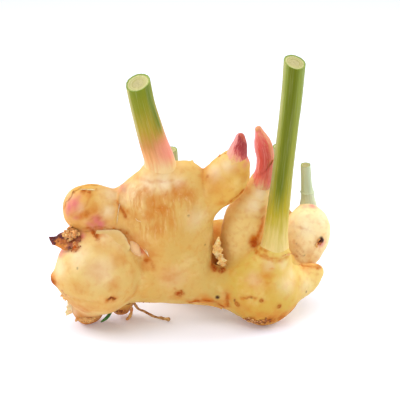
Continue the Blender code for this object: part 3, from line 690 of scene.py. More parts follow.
# ------------------------------------------------------------------ numbers
def unit(vectors):
    """Vectors divided by their lengths."""
    return vectors / np.maximum(np.linalg.norm(vectors, axis=-1, keepdims=True), TINY)


def eased_step(low, high, values):
    """0 below low, 1 above high, and 3t^2 - 2t^3 between them."""
    share = np.clip((values - low) / (high - low), 0, 1)
    return share * share * (3 - 2 * share)


def bell(distance, width, power=2):
    """1 at no distance, falling off over this width."""
    return np.exp(-((distance / width) ** power))


def full_turn(count):
    """This many angles, evenly round a circle."""
    return np.linspace(0, 2 * np.pi, count, endpoint=False)


def smooth_spine(points, steps):
    """A Catmull-Rom curve through the points with this many steps a span."""
    p = np.array(points, float)
    p = np.vstack([2 * p[:1] - p[1:2], p, 2 * p[-1:] - p[-2:-1]])
    t = np.linspace(0, 1, steps, endpoint=False)[:, None]
    spans = [
        0.5 * (2 * b + (c - a) * t + (2 * a - 5 * b + 4 * c - d) * t**2 + (3 * b - a - 3 * c + d) * t**3)
        for a, b, c, d in zip(p, p[1:], p[2:], p[3:])
    ]
    return np.vstack([*spans, p[-2:-1]])


def path_reach(path):
    """How far along the path each of its points lies."""
    return np.concatenate([[0], np.cumsum(np.linalg.norm(np.diff(path, axis=0), axis=1))])


def resampled(line, count):
    """The line as a smooth curve, at this many evenly spaced points."""
    path = smooth_spine(line, SHEET_STEPS)
    reach = path_reach(path)
    at = np.linspace(0, reach[-1], count)
    return np.stack([np.interp(at, reach, column) for column in path.T], axis=-1)


def lattice_noise(points, size, seed):
    """Noise from -1 to 1: random values on a cubic lattice of this size, eased between its corners."""
    table = np.random.default_rng(seed).uniform(-1, 1, (NOISE_CELLS,) * 3)
    cell = np.floor(points / size).astype(int)
    part = points / size - cell
    part = part * part * (3 - 2 * part)
    total = np.zeros(points.shape[:-1])
    for corner in np.ndindex(2, 2, 2):
        at = (cell + corner) % NOISE_CELLS
        weight = np.prod(np.where(np.array(corner) == 1, part, 1 - part), axis=-1)
        total += weight * table[at[..., 0], at[..., 1], at[..., 2]]
    return total


def layered_noise(points, size, seed, layers=3):
    """Lattice noise at this size and at each half of it, each half as strong as the one before."""
    parts = [0.5**k * lattice_noise(points, size * 0.5**k, seed + k) for k in range(layers)]
    return np.sum(parts, axis=0)


def shaken(points, size, seed, amount):
    """The points moved along X, Y and Z by three layered noises of this size, times the amount."""
    moves = [layered_noise(points, size, seed + k) for k in (0, 4, 8)]
    return points + np.stack(moves, axis=-1) * amount


def linear(colour):
    """A colour from 0 to 255 as linear light from 0 to 1."""
    c = np.array(colour, float) / 255
    return np.where(c <= 0.04045, c / 12.92, ((c + 0.055) / 1.055) ** 2.4)


def knob_gap(points, spine):
    """How far each point lies outside a ball swept along a spine, and the way straight out of it."""
    best = np.full(len(points), np.inf)
    out = np.zeros_like(points)
    for start, end in zip(spine, spine[1:]):
        span = end[:3] - start[:3]
        share = np.clip((points - start[:3]) @ span / max(span @ span, TINY), 0, 1)
        away = points - (start[:3] + share[:, None] * span)
        length = np.linalg.norm(away, axis=1)
        gap = length - (start[3] + share * (end[3] - start[3]))
        nearer = gap < best
        best[nearer] = gap[nearer]
        out[nearer] = away[nearer] / np.maximum(length[nearer], TINY)[:, None]
    return best, out


def inside_box(points, corners, margin):
    """Which points lie in the box round the corners, grown by the margin."""
    above = points > corners.min(axis=0) - margin
    below = points < corners.max(axis=0) + margin
    return np.all(above & below, axis=1)


def knob_spines():
    """The knobs' smooth spines in a frame that is as much deeper as the hand is flat."""
    deep = (1, 1 / DEPTH_RATIO, 1, 1)
    return [smooth_spine(np.array(spine) * deep, SPINE_STEPS) for _, spine in KNOBS.values()]


def every_gap(points):
    """Every knob's gap and way out, at points of the plant's frame. Past FAR_GAP a gap is left at that."""
    deep = points / (1, DEPTH_RATIO, 1)
    gaps = np.full((len(KNOBS), len(points)), FAR_GAP)
    ways = np.zeros((len(KNOBS), len(points), 3))
    for k, spine in enumerate(knob_spines()):
        near = inside_box(deep, spine[:, :3], spine[:, 3].max() + FAR_GAP)
        gaps[k, near], ways[k, near] = knob_gap(deep[near], spine)
    return gaps, ways


def soft_weights(gaps, softness):
    """Each knob's share of a point: the exponential of its lead over the nearest knob."""
    weights = np.exp((gaps.min(axis=0) - gaps) / softness)
    return weights / weights.sum(axis=0)


def blended(gaps, ways, softness=JOIN_SOFTNESS):
    """The soft minimum of the gaps, which is 0 on the skin, and its slope."""
    least = gaps.min(axis=0)
    raised = np.exp((least - gaps) / softness)
    slope = (raised[:, :, None] * ways).sum(axis=0) / raised.sum(axis=0)[:, None]
    return least - softness * np.log(raised.sum(axis=0)), slope


def onto_skin(points, rounds=3):
    """The points moved straight onto the skin, and the outward normals there."""
    for _ in range(rounds):
        gap, slope = blended(*every_gap(points))
        steep = np.maximum((slope**2).sum(axis=1), LEAST_SLOPE)
        points = points - (gap / steep)[:, None] * slope * (1, DEPTH_RATIO, 1)
    return points, unit(slope / (1, DEPTH_RATIO, 1))


# ------------------------------------------------------------------ meshes
def grid_faces(rows, columns, closed):
    """Four-cornered faces between a grid's neighbours. A closed grid joins its last column to its first."""
    i, j = np.meshgrid(np.arange(rows - 1), np.arange(columns if closed else columns - 1), indexing="ij")
    k = (j + 1) % columns
    corners = [i * columns + j, i * columns + k, (i + 1) * columns + k, (i + 1) * columns + j]
    return np.stack(corners, axis=-1).reshape(-1, 4)


def fan_faces(pole, first, columns, outward):
    """Triangles from a pole to a ring of points that starts at index first."""
    j = np.arange(columns)
    k = (j + 1) % columns
    ends = (first + j, first + k) if outward else (first + k, first + j)
    return np.stack([np.full(columns, pole), *ends], axis=-1)


def closed_tube(rings):
    """Points and faces of a tube through rings of points, each end closed at its ring's middle."""
    rows, columns = rings.shape[:2]
    points = np.vstack([rings.reshape(-1, 3), rings[0].mean(axis=0), rings[-1].mean(axis=0)])
    last = (rows - 1) * columns
    faces = [
        grid_faces(rows, columns, True).tolist(),
        fan_faces(rows * columns, 0, columns, False).tolist(),
        fan_faces(rows * columns + 1, last, columns, True).tolist(),
    ]
    return points, sum(faces, [])


def joined(parts):
    """Several meshes' points and faces as one mesh's."""
    starts = np.cumsum([0] + [len(points) for points, _ in parts])
    faces = [[start + k for k in face] for start, (_, made) in zip(starts, parts) for face in made]
    return np.vstack([points for points, _ in parts]), faces


def path_frames(centres):
    """At each point of a path, its unit tangent and two unit vectors square to it."""
    way = unit(np.gradient(centres, axis=0))
    reference = np.eye(3)[np.argmin(np.abs(centres[-1] - centres[0]))]
    side = unit(np.cross(way, reference))
    return way, side, np.cross(way, side)


def along_path(path, lengths):
    """Centre, radius, tangent and two side vectors of a path at any lengths along it."""
    table = np.hstack([path, *path_frames(path[:, :3])])
    reach = path_reach(path[:, :3])
    picked = np.stack([np.interp(lengths, reach, column) for column in table.T], axis=-1)
    way, side, other = (unit(picked[..., k : k + 3]) for k in (4, 7, 10))
    return picked[..., :3], picked[..., 3], way, side, other


def spokes(turn, side, other):
    """The ways out from a path at each turn, from its two side vectors."""
    return np.cos(turn)[:, None] * side + np.sin(turn)[:, None] * other


def swept_rings(spine, sides):
    """A circle of the spine's radius carried along the spine, square to it."""
    _, side, other = path_frames(spine[:, :3])
    out = spokes(full_turn(sides), side[:, None], other[:, None])
    return spine[:, None, :3] + spine[:, None, 3:] * out


def nosed(spine, start=True):
    """The spine with a round nose on its ends: radius r cos(a) at r sin(a) beyond the end."""
    steps = np.radians(NOSE_ANGLES)[:, None]

    def nose(tip, inner):
        way = unit((tip - inner)[:3])
        return np.hstack([tip[:3] + way * tip[3] * np.sin(steps), tip[3] * np.cos(steps)])

    parts = [nose(spine[0], spine[1])[::-1]] if start else []
    return np.vstack([*parts, spine, nose(spine[-1], spine[-2])])


def new_object(name, data):
    """An object in the scene."""
    made = bpy.data.objects.new(name, data)
    bpy.context.scene.collection.objects.link(made)
    return made


def new_piece(name, points, faces, finish, slot="rhizome", node=None):
    """A smooth-shaded mesh object from points in the plant's frame, riding on the root body."""
    mesh = bpy.data.meshes.new(name)
    mesh.from_pydata(((points + PLANT_TO_ROW) * MM).tolist(), [], faces)
    mesh.polygons.foreach_set("use_smooth", [True] * len(mesh.polygons))
    piece = new_object(name, mesh)
    mesh.materials.append(finish)
    if node:
        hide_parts(node)
    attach(piece, "root")
    return piece


def store(piece, name, kind, field, values):
    """Stores a value for each vertex."""
    made = piece.data.attributes.new(name, kind, "POINT")
    made.data.foreach_set(field, np.asarray(values, np.float32).ravel())


def store_numbers(piece, **values):
    """Stores one number for each vertex under each name."""
    for name, numbers in values.items():
        store(piece, name, "FLOAT", "value", numbers)


def baked(source, name):
    """A new object holding the source's evaluated mesh. The source is removed."""
    bpy.context.view_layer.update()
    graph = bpy.context.evaluated_depsgraph_get()
    mesh = bpy.data.meshes.new_from_object(source.evaluated_get(graph))
    bpy.data.objects.remove(source, do_unlink=True)
    return new_object(name, mesh)


# ------------------------------------------------------------------ marks on the skin
def away_from(points, place):
    """Each point's distance from a place."""
    return np.linalg.norm(points - place, axis=1)


def spots(points, table, power=2):
    """The strongest of the table's round marks at each point: strength times a bell of the distance."""
    strongest = np.zeros(len(points))
    for *place, radius, strength in table:
        strongest = np.maximum(strongest, strength * bell(away_from(points, place), radius, power))
    return strongest


def crisp_spots(points, table):
    """Round marks with an even inside and a narrow edge."""
    strongest = np.zeros(len(points))
    for *place, radius, strength in table:
        outside = eased_step(0.55 * radius, 1.45 * radius, away_from(points, place))
        strongest = np.maximum(strongest, strength * (1 - outside))
    return strongest


def line_bell(points, line, width, power=2):
    """1 on a smooth line over the skin, falling off as a bell of this width beside it."""
    path = smooth_spine(line, LINE_STEPS)
    near = inside_box(points, path, 3 * width)
    shape = np.zeros(len(points))
    distance = knob_gap(points[near], np.hstack([path, np.zeros((len(path), 1))]))[0]
    shape[near] = bell(distance, width, power)
    return shape


def flesh_tint(gaps):
    """The knobs' own colours, each running a little into the next."""
    tints = np.array([linear(tint) for tint, _ in KNOBS.values()])
    return np.einsum("kn,kc->nc", soft_weights(gaps, TINT_SOFTNESS), tints)


def skin_marks(points):
    """The values that the skin's material reads, at points on or near the skin.

    Amber, cork and dark are each the strongest of the tables of marks, the scar lines and root scars,
    painted shade in and round the hollows between knobs, and a darkening towards the bottom of the skin.
    Noise frays their edges, and every noise has a seed of its own.
    """
    gaps, ways = every_gap(points)
    hollow = 1 - np.linalg.norm(blended(gaps, ways)[1], axis=1)
    shade_halo = 1 - np.linalg.norm(blended(gaps, ways, SHADE_HALO_SOFTNESS)[1], axis=1)
    broken = 0.5 + 0.5 * layered_noise(points, 7, 40)
    patchy = np.clip(0.85 + 0.6 * layered_noise(points, 2.4, 50), 0, 1)
    jitter = shaken(points, 3.2, 60, 0.9)
    ragged = shaken(points, 1.9, 72, 0.9)
    frayed = 0.7 * points + 0.3 * ragged
    # Darker and browner towards the bottom of the skin.
    low_down = 1 - eased_step(1.5, 9, points[:, 2] + 2.5 * layered_noise(points, 8, 44))
    # Amber: the tables' marks, painted shade in and round the hollows between knobs, and the darkening
    # towards the bottom.
    amber = np.maximum.reduce([
        1.1 * spots(jitter, AMBER, 3),
        0.55 * eased_step(0.2, 0.7, shade_halo) * (0.4 + broken),
        0.75 * eased_step(0.05, 0.6, hollow),
        0.75 * low_down,
    ])
    # Cork: the tables' marks, a little brown in the hollows as painted shade, and the browning towards the
    # bottom.
    cork = np.maximum.reduce([
        spots(ragged, CORK, 4),
        0.30 * eased_step(0.4, 0.9, hollow) * broken,
        0.5 * low_down**2 * broken,
    ])
    # Dark: crisp dots, and painted shade in the deepest hollows.
    dark = np.maximum(crisp_spots(points, DOTS), 0.25 * eased_step(0.7, 0.95, hollow))
    for width, _, brown, orange, line in SCAR_LINES:
        cork = np.maximum(cork, brown * patchy * line_bell(frayed, line, width, 4))
        amber = np.maximum(amber, 1.2 * orange * patchy * line_bell(jitter, line, 2.6 * width))
        if brown > DARK_LINE:
            dark = np.maximum(dark, 0.8 * patchy * line_bell(frayed, line, 0.6 * width, 4))
    for *place, radius in ROOT_SCARS:
        distance = away_from(points, place)
        cork = np.maximum(cork, 0.75 * bell(distance - radius, 0.6))
        amber = np.maximum(amber, 0.6 * bell(distance, 1.8 * radius))
    return {
        "flesh": flesh_tint(gaps),
        "blush": np.clip(spots(jitter, BLUSH), 0, 1),
        "amber": np.clip(amber, 0, 1.2),
        "cork": np.clip(cork, 0, 1),
        "dark": dark,
        "pale": spots(jitter, PALE_AND_LIT),
        "fibrous": spots(points, FIBROUS),
        "dry": np.zeros(len(points)),
    }


def paint_skin(piece, points, **changes):
    """Stores the skin's marks on a piece, with some of them changed."""
    marks = {**skin_marks(points), **changes}
    flesh = marks.pop("flesh")
    store(piece, "flesh", "FLOAT_COLOR", "color", np.hstack([flesh, np.ones((len(flesh), 1))]))
    store_numbers(piece, **marks)


def skin_relief(points):
    """How far the skin stands off its smooth field, in millimetres.

    Slow lumps, faint dimples, the raised or sunk lines of old scale leaves, the rims and pits that
    rootlets left, small swellings, and fibres that run down from the left stem.
    """
    relief = 0.62 * layered_noise(points, 19, 1, 2) + 0.34 * lattice_noise(points, 7, 5)
    relief += 0.13 * lattice_noise(points, 3.0, 9)
    jitter = shaken(points, 5, 20, 0.8)
    for width, height, _, _, line in SCAR_LINES:
        relief += height * line_bell(jitter, line, width)
    for *place, radius in ROOT_SCARS:
        distance = away_from(points, place)
        relief += 0.5 * bell(distance - radius, 0.7) - 0.8 * bell(distance, radius)
    for *place, radius, height in SWELLINGS:
        relief += height * (1 - eased_step(0.2 * radius, 1.25 * radius, away_from(points, place)))
    relief += 0.16 * spots(points, FIBROUS) * lattice_noise(points * (1, 1, 0.16), 1.3, 33)
    crumbly = lattice_noise(points, 1.3, 36) * eased_step(0.35, 0.8, spots(points, CORK))
    return relief + 0.35 * crumbly


def neighbours_mean(points, edges):
    """Each point moved to the mean of the points that it shares an edge with."""
    count = np.bincount(edges.ravel(), minlength=len(points))
    total = [
        np.bincount(edges[:, 0], points[edges[:, 1], axis], len(points))
        + np.bincount(edges[:, 1], points[edges[:, 0], axis], len(points))
        for axis in range(3)
    ]
    return np.stack(total, axis=1) / np.maximum(count, 1)[:, None]


def rough_skin():
    """Swept balls, one for each knob, remeshed as one body."""
    points, faces = joined([closed_tube(swept_rings(nosed(spine), KNOB_SIDES)) for spine in knob_spines()])
    mesh = bpy.data.meshes.new("rough_knobs")
    mesh.from_pydata((points * (1, DEPTH_RATIO, 1) * MM).tolist(), [], faces)
    rough = new_object("rough_knobs", mesh)
    remesh = rough.modifiers.new("Grow together", "REMESH")
    remesh.mode = "VOXEL"
    remesh.voxel_size = SKIN_VOXEL * MM
    return baked(rough, "ginger_rhizome")


def read_mesh(mesh):
    """The vertices, in millimetres, and the edges."""
    points = np.empty(len(mesh.vertices) * 3)
    mesh.vertices.foreach_get("co", points)
    edges = np.empty(len(mesh.edges) * 2, int)
    mesh.edges.foreach_get("vertices", edges)
    return points.reshape(-1, 3) / MM, edges.reshape(-1, 2)


def grown_skin(finish):
    """The knobs grown together: the rough skin smoothed and drawn onto the blended field, with relief."""
    skin = rough_skin()
    points, edges = read_mesh(skin.data)
    for _ in range(SKIN_ROUNDS):
        points = 0.5 * points + 0.5 * neighbours_mean(points, edges)
        points, normals = onto_skin(points, 1)
    raised = points + normals * skin_relief(points)[:, None]
    raised[:, 2] = np.maximum(raised[:, 2], SKIN_FLOOR)
    skin.data.vertices.foreach_set("co", ((raised + PLANT_TO_ROW) * MM).ravel())
    skin.data.polygons.foreach_set("use_smooth", [True] * len(skin.data.polygons))
    skin.data.materials.clear()
    skin.data.materials.append(finish)
    skin.data.update()
    paint_skin(skin, points)
    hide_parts("rhizome")
    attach(skin, "root")


# ------------------------------------------------------------------ stems and shoots
def straightened(turn, radius, height):
    """Places on a stem as they would lie if its spine ran straight up."""
    return np.stack([np.cos(turn) * radius, np.sin(turn) * radius, height], axis=-1)


def store_grain(piece, places):
    """Stores each vertex's place on the straightened stem, which the fibres run along."""
    store(piece, "grain", "FLOAT_VECTOR", "vector", places * MM)


def tube_places(straight):
    """A tube's places on the straightened stem, its two closing points included."""
    return np.vstack([straight.reshape(-1, 3), straight[0, 0], straight[-1, 0]])


def tube_numbers(rings, foot, tip):
    """A number for each vertex of a tube, its two closing points included."""
    return np.concatenate([rings.ravel(), [foot, tip]])


def knife_cut(rim, middle, normal, radius):
    """The rings of a knife's cut, and the share of the way out at which each lies.

    They are the stem's last ring drawn in towards the middle. They stand off along the cut's normal by
    a dish that deepens inwards, sine ridges and noise.
    """
    share = np.concatenate([CUT_RIM, CUT_RINGS])[:, None]
    across = middle + (rim - middle) * share[..., None]
    dish = CUT_DISH * radius * (1 - share**3)
    layers = CUT_LAYERS * np.sin(26 * share) * eased_step(0.3, 0.5, share)
    rough = CUT_ROUGH * lattice_noise(across, 1.2, 12)
    return across + normal * (CUT_RISE - dish + layers + rough)[..., None], share


def stem_piece(name, finish, rows=150, ribs=0.10, rings=()):
    """A cut leafy stem: a ring carried up the spine to a sloped cut, then inwards over it to its middle.

    The ring's radius grows by the sheath's thickness once round and drops back at the sheath's edge,
    which winds slowly up the stem. Fine ribs run up it, and a ring of given (height, width, rise) goes
    round. Near the top the rings turn to the slope of the cut.
    """
    points, tilts = STEMS[name]
    path = smooth_spine(points, STEM_STEPS)
    length = path_reach(path[:, :3])[-1]
    top_radius = path[-1, 3]
    trimmed = length - TRIM_SHARE * top_radius
    way = unit(path[-1, :3] - path[-2, :3])
    about_x, about_y = np.tan(np.radians(tilts))
    normal = unit(way + (about_y, -about_x, 0))
    turn = full_turn(STEM_SIDES)
    height = np.linspace(0, trimmed, rows)[:, None] + 0 * turn
    top_out = spokes(turn, *along_path(path, height[-1])[3:])
    slope = -top_radius * (top_out @ normal) / (way @ normal)
    reach = height + slope * eased_step(trimmed - SLOPED_END, trimmed, height)
    centre, radius, tangent, side, other = along_path(path, np.minimum(reach, length))
    centre = centre + tangent * np.maximum(reach - length, 0)[..., None]
    out = spokes(turn, side, other)
    wound = ((turn + SHEATH_WIND * height / trimmed) / (2 * np.pi)) % 1
    straight = straightened(turn, radius, height)
    freed = eased_step(*BARE_BASE, height)
    grown = radius + freed * STEM_SHEATH * (wound - 0.5)
    grown += freed * ribs * np.cos(turn * STEM_RIBS + 2.0 * lattice_noise(straight, 9, 3))
    grown += freed * 0.12 * lattice_noise(straight * (1, 1, 0.15), 1.6, 4)
    for at, width, rise in rings:
        grown += rise * bell(height - at - 0.8 * lattice_noise(straight * (1, 1, 0), 4, 6), width)
    flat = np.ones_like(straight)
    flat[..., 1] = DEPTH_RATIO + (1 - DEPTH_RATIO) * freed
    sides = centre + out * flat * grown[..., None]
    cut, share = knife_cut(sides[-1], along_path(path, trimmed)[0], normal, top_radius)
    piece = new_piece(name + "_visual", *closed_tube(np.concatenate([sides, cut])), finish, name, name)

    def whole(side_rings, cut_rings, foot, tip):
        over = np.broadcast_to(cut_rings, cut.shape[:2])
        return tube_numbers(np.concatenate([side_rings, over]), foot, tip)

    out = unit(out)
    store_numbers(
        piece,
        up=whole(height / trimmed, 1, 0, 1),
        cut=whole(0 * height, 1, 0, 1),
        radial=whole(0 * height + 1, share, 1, 0),
        spoke_x=whole(out[..., 0], out[-1, :, 0], 0, 0),
        spoke_y=whole(out[..., 1], out[-1, :, 1], 0, 0),
    )
    cut_places = np.repeat(straight[-1:], len(cut), axis=0)
    store_grain(piece, tube_places(np.concatenate([straight, cut_places])))


def shoot_piece(name, finish, sheath):
    """A pointed pink shoot: a ring carried up its spine to a round nose, a sheath's edge winding round it.

    The ring's radius grows by the sheath's thickness once round and drops back at the edge, with lumps
    and fine fibres. All of these fade where the shoot grows thin.
    """
    path = nosed(smooth_spine(SHOOTS[name], STEM_STEPS), start=False)
    length = path_reach(path[:, :3])[-1]
    turn = full_turn(SHOOT_SIDES)
    height = np.linspace(0, length, SHOOT_ROWS)[:, None] + 0 * turn
    centre, radius, _, side, other = along_path(path, height)
    out = spokes(turn, side, other)
    wound = ((turn + SHOOT_WIND * height / length + SHOOT_TURN) / (2 * np.pi)) % 1
    straight = straightened(turn, radius, height)
    uneven = sheath * (wound - 0.5) + 0.12 * layered_noise(straight, 3.5, 7)
    uneven += 0.12 * lattice_noise(straight * (1, 1, 0.12), 1.0, 8)
    grown = radius + np.minimum(1, radius / SHOOT_THIN) * uneven
    piece = new_piece(name + "_visual", *closed_tube(centre + out * grown[..., None]), finish, name, name)
    store_numbers(
        piece,
        up=tube_numbers(height / length, 0, 1),
        spoke_x=tube_numbers(unit(out)[..., 0], 0, 0),
    )
    store_grain(piece, tube_places(straight))


# ------------------------------------------------------------------ scales and leaves
def rim_share(count):
    """0 at both ends of a row of points, rising to 1 in its middle."""
    return 1 - np.abs(np.linspace(-1, 1, count))


def sheet_piece(name, grid, thickness, finish, slot="rhizome", node=None, **values):
    """A thin closed sheet: a grid of points moved half its thickness each way, thinner towards its rim.

    A normal is the cross product of the grid's two slopes. The values are stored for both sides.
    """
    rows, columns = grid.shape[:2]
    count = rows * columns
    normals = unit(np.cross(np.gradient(grid, axis=1), np.gradient(grid, axis=0)))
    inset = np.minimum(rim_share(rows)[:, None], rim_share(columns))
    half = normals * (0.5 * thickness * (0.3 + 0.7 * eased_step(0, 0.25, inset)))[..., None]
    points = np.concatenate([(grid - half).reshape(-1, 3), (grid + half).reshape(-1, 3)])
    under = grid_faces(rows, columns, False)
    index = np.arange(count).reshape(rows, columns)
    rim = np.concatenate([index[0, :-1], index[:-1, -1], index[-1, :0:-1], index[:0:-1, 0]])
    after = np.roll(rim, -1)
    edge = np.stack([rim, rim + count, after + count, after], axis=-1)
    faces = np.concatenate([under, under[:, ::-1] + count, edge]).tolist()
    piece = new_piece(name, points, faces, finish, slot, node)
    piece.data.set_sharp_from_angle(angle=SHARP_EDGE)
    store_numbers(piece, **{key: np.tile(np.ravel(value), 2) for key, value in values.items()})
    return piece


def torn_scale(
    name, finish, seed, size, rise, root, free,
    sink=0.5, ragged=0.3, tear=2.2, curl=2.0, hold=0.0, crumple=0.35, dry=0.6, clean=False,
):
    """A torn scale leaf that is left on the skin.

    A sheet from its root line, just under the skin, to its free line. It follows the skin, and its height
    runs from -sink to rise as a power of the share of the way. hold keeps that share of its own straight
    line, for a scale that stands off. Noise tears the free edge back and crumples the sheet. A clean
    scale takes none of the brown of the skin below it, and pales towards its free edge.
    """
    columns, rows = size
    start, end = resampled(root, columns), resampled(free, columns)
    torn = 1 - ragged * (0.5 + 0.5 * layered_noise(end, tear, seed))
    share = np.linspace(0, 1, rows)[:, None] * torn
    flat = (start + (end - start) * share[..., None]).reshape(-1, 3)
    share = share.ravel()
    near, normals = onto_skin(flat)
    kept = (hold * share)[:, None]
    height = (sink + rise) * share**curl - sink + crumple * share * layered_noise(flat, 3.0, seed + 5)
    points = near * (1 - kept) + flat * kept + normals * height[:, None]
    points[:, 2] = np.maximum(points[:, 2], SCALE_FLOOR)
    piece = sheet_piece(name, points.reshape(rows, columns, 3), SCALE_THICKNESS, finish)
    aside = np.tile(1 - rim_share(columns), rows)
    rim = np.maximum(eased_step(0.55, 1.0, share), 0.8 * eased_step(0.8, 1.0, aside) * share)
    changes = {"dry": np.clip(dry * (0.35 * share + rim), 0, 1)}
    if clean:
        changes["flesh"] = np.tile(skin_marks(start)["flesh"], (rows, 1))
        changes["amber"] = 0.10 * (1 - share)
        changes["pale"] = 0.05 + 0.45 * share**5
        changes["cork"] = changes["dark"] = 0 * share
    both_sides = {key: np.concatenate([value, value]) for key, value in changes.items()}
    paint_skin(piece, np.vstack([near, near]), **both_sides)


def loose_flake(name, finish, seed, spine):
    """A crumpled flake of old scale: a strip of changing half-width along its spine, bent by noise."""
    rows, columns = FLAKE_SIZE
    path = resampled(spine, rows)[:, None]
    middle, half_width = path[..., :3], path[..., 3:]
    across = np.linspace(-1, 1, columns)[None, :, None]
    torn = 1 + 0.45 * layered_noise(middle + across * (4, 0, 0), 1.8, seed)[..., None]
    grid = middle + across * torn * half_width * (1, 0.25, 0.1)
    sheet_piece(name, shaken(grid, 2.6, seed + 1, (0.27, 0.9, 0.27)), SCALE_THICKNESS, finish)


def wrapped_scale(name, slot, finish, seed, path, start, top, lean, facing, wrap, lift):
    """A sheath scale wrapped part of the way round a stem or shoot.

    It runs up from start to top (millimetres along the path), higher by lean where it faces and lower
    behind, at the stem's radius plus lift, flaring a little at its torn upper edge. facing and wrap are
    the direction it faces and the angle it spans, in degrees; 0 faces +X and -90 the front.
    """
    columns, rows = SHEATH_SIZE
    across = np.linspace(-1, 1, columns)
    turn = np.radians(facing + 0.5 * wrap * across)
    out = np.stack([np.cos(turn), np.sin(turn), 0 * turn], axis=-1)
    edge = top + lean * np.cos(across * np.radians(wrap / 2)) ** 2
    edge -= SHEATH_TEAR * (0.5 + 0.5 * layered_noise(out * 8, 2.0, seed))
    share = np.linspace(0, 1, rows)[:, None]
    height = start + (edge - start) * share
    centre, radius, way, _, _ = along_path(path, height)
    square = unit(out - way * np.sum(way * out, axis=-1, keepdims=True))
    off = radius + lift * (0.2 + 0.8 * eased_step(0, 0.3, share)) + SHEATH_FLARE * share**3
    off += 0.10 * lattice_noise(square * 9 + way * height[..., None] * 0.12, 1.2, seed + 3)
    values = {"up": height / path_reach(path[:, :3])[-1], "spoke_x": square[..., 0]}
    piece = sheet_piece(name, centre + square * off[..., None], SHEATH_THICKNESS, finish, slot, **values)
    straight = straightened(turn, SHEATH_RADIUS + 0 * height, height).reshape(-1, 3)
    store_grain(piece, np.vstack([straight, straight]))


def leaf_surface(rows, length, width):
    """A smooth sheet through rows of points: a Catmull-Rom curve along each, then across them."""
    along = np.array([resampled(row, length) for row in rows])
    return np.array([resampled(column, width) for column in along.swapaxes(0, 1)])


def leaf_shares(length, width):
    """For each point of a leaf, the share of the way along it, and its place across it from -1 to 1."""
    return np.meshgrid(np.linspace(0, 1, length), np.linspace(-1, 1, width), indexing="ij")


def dry_scale_leaf(finish):
    """The dry scale leaf on the left knob: a crumpled sheet, torn at its edges, curling up to a point.

    The leaf's surface, drawn in towards its middle line by noise, then creased by noise along the
    skin's normals and held just above the skin.
    """
    length, width = DRY_LEAF_SIZE
    sheet = leaf_surface(DRY_SCALE_LEAF, length, width)
    along, across = leaf_shares(length, width)
    torn = 1 - 0.30 * (0.5 + 0.5 * layered_noise(sheet[:, :1], 3.0, 61)) * (0.4 + 0.6 * along[:, :1])
    middle = sheet[:, width // 2][:, None]
    sheet = middle + (sheet - middle) * torn[..., None]
    creases = 0.9 * layered_noise(sheet * (1, 1, 1.6), 4.5, 65) + 0.25 * layered_noise(sheet, 1.2, 69)
    creases *= (0.35 + 0.65 * along) * (1 - 0.3 * np.abs(across))
    points = sheet.reshape(-1, 3)
    _, normals = onto_skin(points)
    points = points + normals * creases.reshape(-1, 1)
    gap = blended(*every_gap(points))[0]
    points += normals * np.maximum(LEAF_CLEARANCE - gap, 0)[:, None]
    values = {"slot": "dry_scale_leaf", "node": "dry_scale_leaf", "up": along, "across": across}
    sheet_piece("dry_scale_leaf_visual", points.reshape(sheet.shape), LEAF_THICKNESS, finish, **values)


def leaf_scrap(finish):
    """The scrap of green leaf: a folded blade, its two halves meeting in a keel, pointed at the ground.

    The scrap's surface, its width following a half sine, its edges moved to the front by a power of
    their distance from the keel.
    """
    length, width = SCRAP_SIZE
    sheet = leaf_surface(LEAF_SCRAP, length, width)
    along, across = leaf_shares(length, width)
    swell = np.sin(np.pi * np.clip(along * 0.75 + 0.12, 0, 1))
    broad = 0.35 + 0.85 * swell * (1 - 0.5 * eased_step(0.8, 1, along))
    middle = sheet.mean(axis=1, keepdims=True)
    sheet = middle + (sheet - middle) * broad[..., None]
    sheet[..., 1] -= 0.6 * (np.abs(across) ** 1.2 - 0.5)
    sheet += 0.1 * layered_noise(sheet * (0.3, 1, 0.3), 1.0, 80)[..., None]
    sheet[..., 2] = np.maximum(sheet[..., 2], SCRAP_FLOOR)
    values = {"slot": "leaf_scrap", "node": "leaf_scrap", "up": along, "across": across}
    sheet_piece("leaf_scrap_visual", sheet, SCRAP_THICKNESS, finish, **values)


# ------------------------------------------------------------------ roots, buds and small bits
def rootlet(name, finish):
    """A wiry rootlet: a circle carried along its spine, with knots in its width and kinks in its line."""
    path = nosed(smooth_spine(ROOTLETS[name], ROOT_STEPS), start=False)
    path[:, :3] = shaken(path[:, :3], 4.0, 3, ROOT_KINKS)
    path[:, 3] *= 1 + 0.28 * layered_noise(path[:, :3], 2.2, 15)
    path[:, 2] = np.maximum(path[:, 2], path[:, 3] + ROOT_CLEARANCE)
    rings = swept_rings(path, ROOT_SIDES)
    rings += 0.12 * layered_noise(rings, 1.0, 19)[..., None] * unit(rings - path[:, None, :3])
    new_piece(name + "_visual", *closed_tube(rings), finish, name, name)


def small_bud(name, spine, finish, **marks):
    """A small bud that stands out of the skin: swept balls closed to a round nose, dented by noise."""
    points, faces = closed_tube(swept_rings(nosed(smooth_spine(spine, BUD_STEPS)), KNOB_SIDES))
    points = points + 0.18 * unit(points - points.mean(axis=0)) * layered_noise(points, 2.2, 5)[:, None]
    piece = new_piece(name, points, faces, finish)
    bare = np.zeros(len(points))
    clean = {"cork": bare, "dark": bare, "amber": bare}
    paint_skin(piece, points, **clean, **{key: bare + value for key, value in marks.items()})


def threads(name, lines, finish, radius):
    """Fine fibres: a thin circle carried along each line, tapering to both ends."""
    share = np.clip(np.linspace(0, 1, FIBRE_ROWS), 0.04, 0.96)
    taper = radius * (0.35 + 0.65 * np.sin(np.pi * share) ** 0.5)
    spines = [np.hstack([resampled(line, FIBRE_ROWS), taper[:, None]]) for line in lines]
    new_piece(name, *joined([closed_tube(swept_rings(spine, FIBRE_SIDES)) for spine in spines]), finish)


